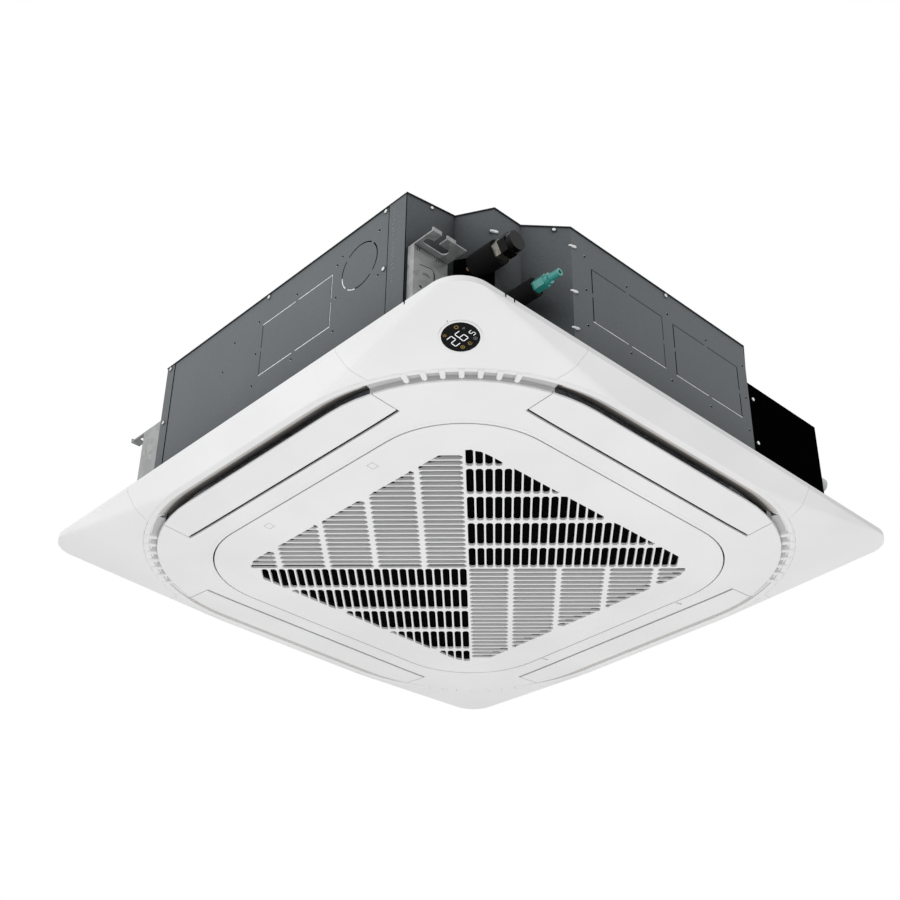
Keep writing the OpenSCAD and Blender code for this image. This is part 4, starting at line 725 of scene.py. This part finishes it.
def rounded_square(inset, steps=8):
    """The filter frame's outline, moved inward by a distance."""
    middle, points = FRAME_HALF - FRAME_TURN, []
    for k, (sx, sy) in enumerate(((1, 1), (-1, 1), (-1, -1), (1, -1))):
        angles = [math.pi / 2 * (k + i / steps) for i in range(steps + 1)]
        points += bow(FRAME_TURN - inset, angles, (middle * sx, middle * sy))
    return points


def close_rings(bm, rings):
    """Quads between each ring of points and the next."""
    for a, b in zip(rings, rings[1:]):
        for i in range(len(a)):
            bm.faces.new((a[i], a[(i + 1) % len(a)], b[(i + 1) % len(a)], b[i]))


FRAME_SECTION = [
    (0, FRAME_LOW), (0, FRAME_TOP - FRAME_EDGE), (FRAME_EDGE, FRAME_TOP),
    (FRAME_BAR - FRAME_EDGE, FRAME_TOP), (FRAME_BAR, FRAME_TOP - FRAME_EDGE), (FRAME_BAR, FRAME_LOW),
]
rings = [[filter_bm.verts.new((x * MM, y * MM, (z - RISE) * MM)) for x, y in rounded_square(inset)]
         for inset, z in FRAME_SECTION]
close_rings(filter_bm, rings + rings[:1])
for turned in quarters()[:2]:
    for x in (-RIB_PITCH, 0, RIB_PITCH):
        prism(filter_bm, block(x - RIB_HALF, -RIB_REACH, x + RIB_HALF, RIB_REACH), turned,
              RIB_LOW - RISE, RIB_TOP - RISE, RIB_EDGE)
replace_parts(piece("filter_frame_moulded", filter_bm, DARK, "grille"), "filter_frame")

# Corner pockets of the air slot: a shallow floor with its inner wall, and the broad faces of the ribs.
# The lip's corners turn about LIP_MID, and the duct's inner edge about EDGE_MID.
LIP_MID, LIP_TURN, EDGE_MID, EDGE_TURN = 149.0, 297.0, 163.5, 255.7
POCKET_START, POCKET_SWEEP, POCKET_STEPS = 18.6, 52.8, 32  # degrees, and steps
POCKET_LIP, POCKET_WALL = 4, 1.2
FLOOR_LOW, FLOOR_TOP, WALL_LOW = -30.5, -29.5, -36.9
RIBS, RIB_START, RIB_STEP = 7, 30, 5
RIB_INNER, RIB_OUTER = (0.3, 3.6), (2.5, 4.4)  # gap at the end and half width there
RIB_BACK, RIB_FACE, RIB_ROUND = 29, 36.4, 1.2  # below the ceiling surface
pockets, rib_faces = bmesh.new(), bmesh.new()


def pocket_inner(a):
    """Distance of the duct's inner edge from LIP_MID at an angle."""
    both = (math.cos(a) + math.sin(a)) * (EDGE_MID - LIP_MID)
    return both + math.sqrt(both ** 2 - 2 * (EDGE_MID - LIP_MID) ** 2 + EDGE_TURN ** 2)


def polar(a, r, side=0.0):
    return (LIP_MID + r * math.cos(a) - side * math.sin(a), LIP_MID + r * math.sin(a) + side * math.cos(a))


angles = [math.radians(POCKET_START + POCKET_SWEEP * i / POCKET_STEPS) for i in range(POCKET_STEPS + 1)]
lip_side = [polar(a, LIP_TURN - POCKET_LIP) for a in angles]
duct_side = [polar(a, pocket_inner(a)) for a in angles]
wall_side = [polar(a, pocket_inner(a) - POCKET_WALL) for a in angles]
over = Matrix.Rotation(math.pi, 4, "X")
for turned in quarters():
    prism(pockets, lip_side + duct_side[::-1], turned, FLOOR_LOW - RISE, FLOOR_TOP - RISE)
    prism(pockets, duct_side + wall_side[::-1], turned, WALL_LOW - RISE, FLOOR_TOP - RISE)
    for i in range(RIBS):
        a = math.radians(RIB_START + RIB_STEP * i)
        near, far = pocket_inner(a) + RIB_INNER[0], LIP_TURN - RIB_OUTER[0]
        rib = [polar(a, near, -RIB_INNER[1]), polar(a, far, -RIB_OUTER[1]), polar(a, far, RIB_OUTER[1]),
               polar(a, near, RIB_INNER[1])]
        prism(rib_faces, rib, turned @ over, RIB_BACK + RISE, RIB_FACE + RISE, RIB_ROUND)
# The floors' grey is painted shade on white moulding
piece("corner_pocket_floors", pockets, moulded("pocket_painted_shade", (0.52, 0.52, 0.52), 0.6),
      "base")
piece("corner_rib_faces", rib_faces, WHITE, "base")

# Air guides over the flaps' outer edges, which turn the air out along the ceiling.
# GUIDE is their section: distances inward from the lip and heights.
GUIDE = [(0.4, -34.5), (8, -31.6), (16, -27.9), (26, -22.8), (36, -17.4), (44, -13.2)]
GUIDE_BACK = (0.5, 1.1)  # from the front skin to the back one
GUIDE_TURN, GUIDE_STEP, GUIDE_STEPS = 17.6, 2.2, 8  # degrees, and steps
# The guides' grey is painted shade that darkens them higher up
GUIDE_GREY = shaded("guide_grey", (0.40, 0.385, 0.365), (0.07, 0.07, 0.068), -0.197, -0.176, 0.6)
section = [(LIP_TURN - run, z) for run, z in GUIDE]
section += [(r + GUIDE_BACK[0], z + GUIDE_BACK[1]) for r, z in section[::-1]]
path = [(LIP_MID, LIP_MID, math.cos(a), math.sin(a))
        for a in (math.radians(GUIDE_TURN - GUIDE_STEP * i) for i in range(GUIDE_STEPS + 1))]
path += [(x, -y, c, -s) for x, y, c, s in path[::-1]]
guides = bmesh.new()
for turned in quarters():
    skins = [[guides.verts.new(turned @ Vector(((x + c * r) * MM, (y + s * r) * MM, (z - RISE) * MM)))
              for r, z in section] for x, y, c, s in path]
    close_rings(guides, skins)
    guides.faces.new(skins[0])
    guides.faces.new(skins[-1][::-1])
piece("air_guides", guides, GUIDE_GREY, "base")

# Press marks of the two latches on the grille's band: a thin square line each
LATCH_X, LATCH_Y, BAND_Z, BAND_OUT = -300, 118, -48.55, (-0.0645, 0, -1)
MARK_HALF, MARK_LINE, MARK_SKIN = 6.2, 0.8, (-0.2, 0.04)
mark = block(-MARK_HALF, MARK_HALF - MARK_LINE, MARK_HALF, MARK_HALF)
presses = bmesh.new()
for y in (-LATCH_Y, LATCH_Y):
    place = wall_place(ceiling(LATCH_X, y, BAND_Z), BAND_OUT, (0, 1, 0))
    for turned in quarters():
        prism(presses, mark, place @ turned, *MARK_SKIN)
piece("latch_press_marks", presses, moulded("press_line", (0.45, 0.45, 0.45), 0.6), "grille")

# Black strips on the duct wall behind the flaps' inner edges, as painted shadow in the gap there
GAP_SHADOW_X, GAP_SHADOW_Z, GAP_SHADOW_LONG, GAP_SHADOW_TALL, GAP_SHADOW_SKIN = 353.2, -29, 472, 26, (-0.05, 0.5)
gap_shadows = bmesh.new()
for turned in quarters():
    prism(gap_shadows, block(-GAP_SHADOW_LONG / 2, -GAP_SHADOW_TALL / 2, GAP_SHADOW_LONG / 2, GAP_SHADOW_TALL / 2),
          turned @ wall_place(ceiling(GAP_SHADOW_X, 0, GAP_SHADOW_Z), (1, 0, 0)), *GAP_SHADOW_SKIN)
piece("duct_gap_shadows", gap_shadows, SLEEVE_AND_SHADOW, "base")

# Floor, in metres
FLOOR_HALF, FLOOR_Z = 9.0, -2.6
floor_bm = bmesh.new()
bmesh.ops.create_grid(floor_bm, x_segments=1, y_segments=1, size=FLOOR_HALF)
floor_mesh = bpy.data.meshes.new("studio_floor")
floor_bm.to_mesh(floor_mesh)
floor_bm.free()
floor = bpy.data.objects.new("studio_floor", floor_mesh)
floor.location = (0, 0, FLOOR_Z)
floor_mesh.materials.append(moulded("floor_paper", (0.80, 0.80, 0.80), 0.9, 0.02, 0.01, 0.0))
bpy.context.scene.collection.objects.link(floor)

# World: white where the camera sees it, also in gloss and through clear parts, and dimmer as a light
WORLD_LIGHT, WORLD_SEEN = 0.64, 1.0
world = bpy.data.worlds.new("studio_world")
bpy.context.scene.world = world
world.use_nodes = True
world_tree = world.node_tree
rays = node(world_tree, "ShaderNodeLightPath")
seen = rays.outputs["Is Camera Ray"]
for kind in ("Is Glossy Ray", "Is Transmission Ray"):
    either = node(world_tree, "ShaderNodeMath", operation="MAXIMUM")
    world_tree.links.new(seen, either.inputs[0])
    world_tree.links.new(rays.outputs[kind], either.inputs[1])
    seen = either.outputs["Value"]
backdrop = world_tree.nodes["Background"]
world_tree.links.new(ramp(world_tree, seen, 0.0, 1.0, WORLD_LIGHT, WORLD_SEEN), backdrop.inputs["Strength"])
backdrop.inputs["Color"].default_value = (1, 1, 1, 1)


# Lights, in metres and watts
def area(name, at, to, size, power):
    light = bpy.data.lights.new(name, "AREA")
    light.shape = "DISK"
    light.size = size
    light.energy = power
    made = bpy.data.objects.new(name, light)
    made.location = at
    made.rotation_euler = (Vector(to) - Vector(at)).to_track_quat("-Z", "Y").to_euler()
    bpy.context.scene.collection.objects.link(made)


area("key_left", (-3.6, -0.2, 0.6), (0, 0, -0.05), 1.8, 39)
area("under_soft", (-0.15, -0.25, -2.5), (0, 0, -0.2), 3.2, 33)

# Camera, as solved from the photo
CAMERA_AT = Vector((-1.43284, -1.48899, -1.33657))
CAMERA_AZ, CAMERA_EL, CAMERA_ROLL = (math.radians(v) for v in (-43.0558, -33.0364, 0.7911))
FOCAL_PX, PHOTO_PX, SENSOR_MM, FAR_CLIP = 1497.93, 900, 36.0, 60.0


def camera_turn():
    """The camera's axes from its azimuth, elevation and roll."""
    backward = Vector((math.sin(CAMERA_AZ) * math.cos(CAMERA_EL), -math.cos(CAMERA_AZ) * math.cos(CAMERA_EL),
                       math.sin(CAMERA_EL)))
    level = Vector((0, 0, 1)).cross(backward).normalized()
    above = backward.cross(level)
    c, s = math.cos(CAMERA_ROLL), math.sin(CAMERA_ROLL)
    return Matrix((level * c + above * s, above * c - level * s, backward)).transposed().to_4x4()


lens = bpy.data.cameras.new("photo_camera")
lens.sensor_width = SENSOR_MM
lens.lens = FOCAL_PX / PHOTO_PX * SENSOR_MM
lens.clip_end = FAR_CLIP
camera = bpy.data.objects.new("photo_camera", lens)
camera.matrix_world = Matrix.Translation(CAMERA_AT) @ camera_turn()
bpy.context.scene.collection.objects.link(camera)
bpy.context.scene.camera = camera
bpy.context.scene.view_settings.view_transform = "Standard"
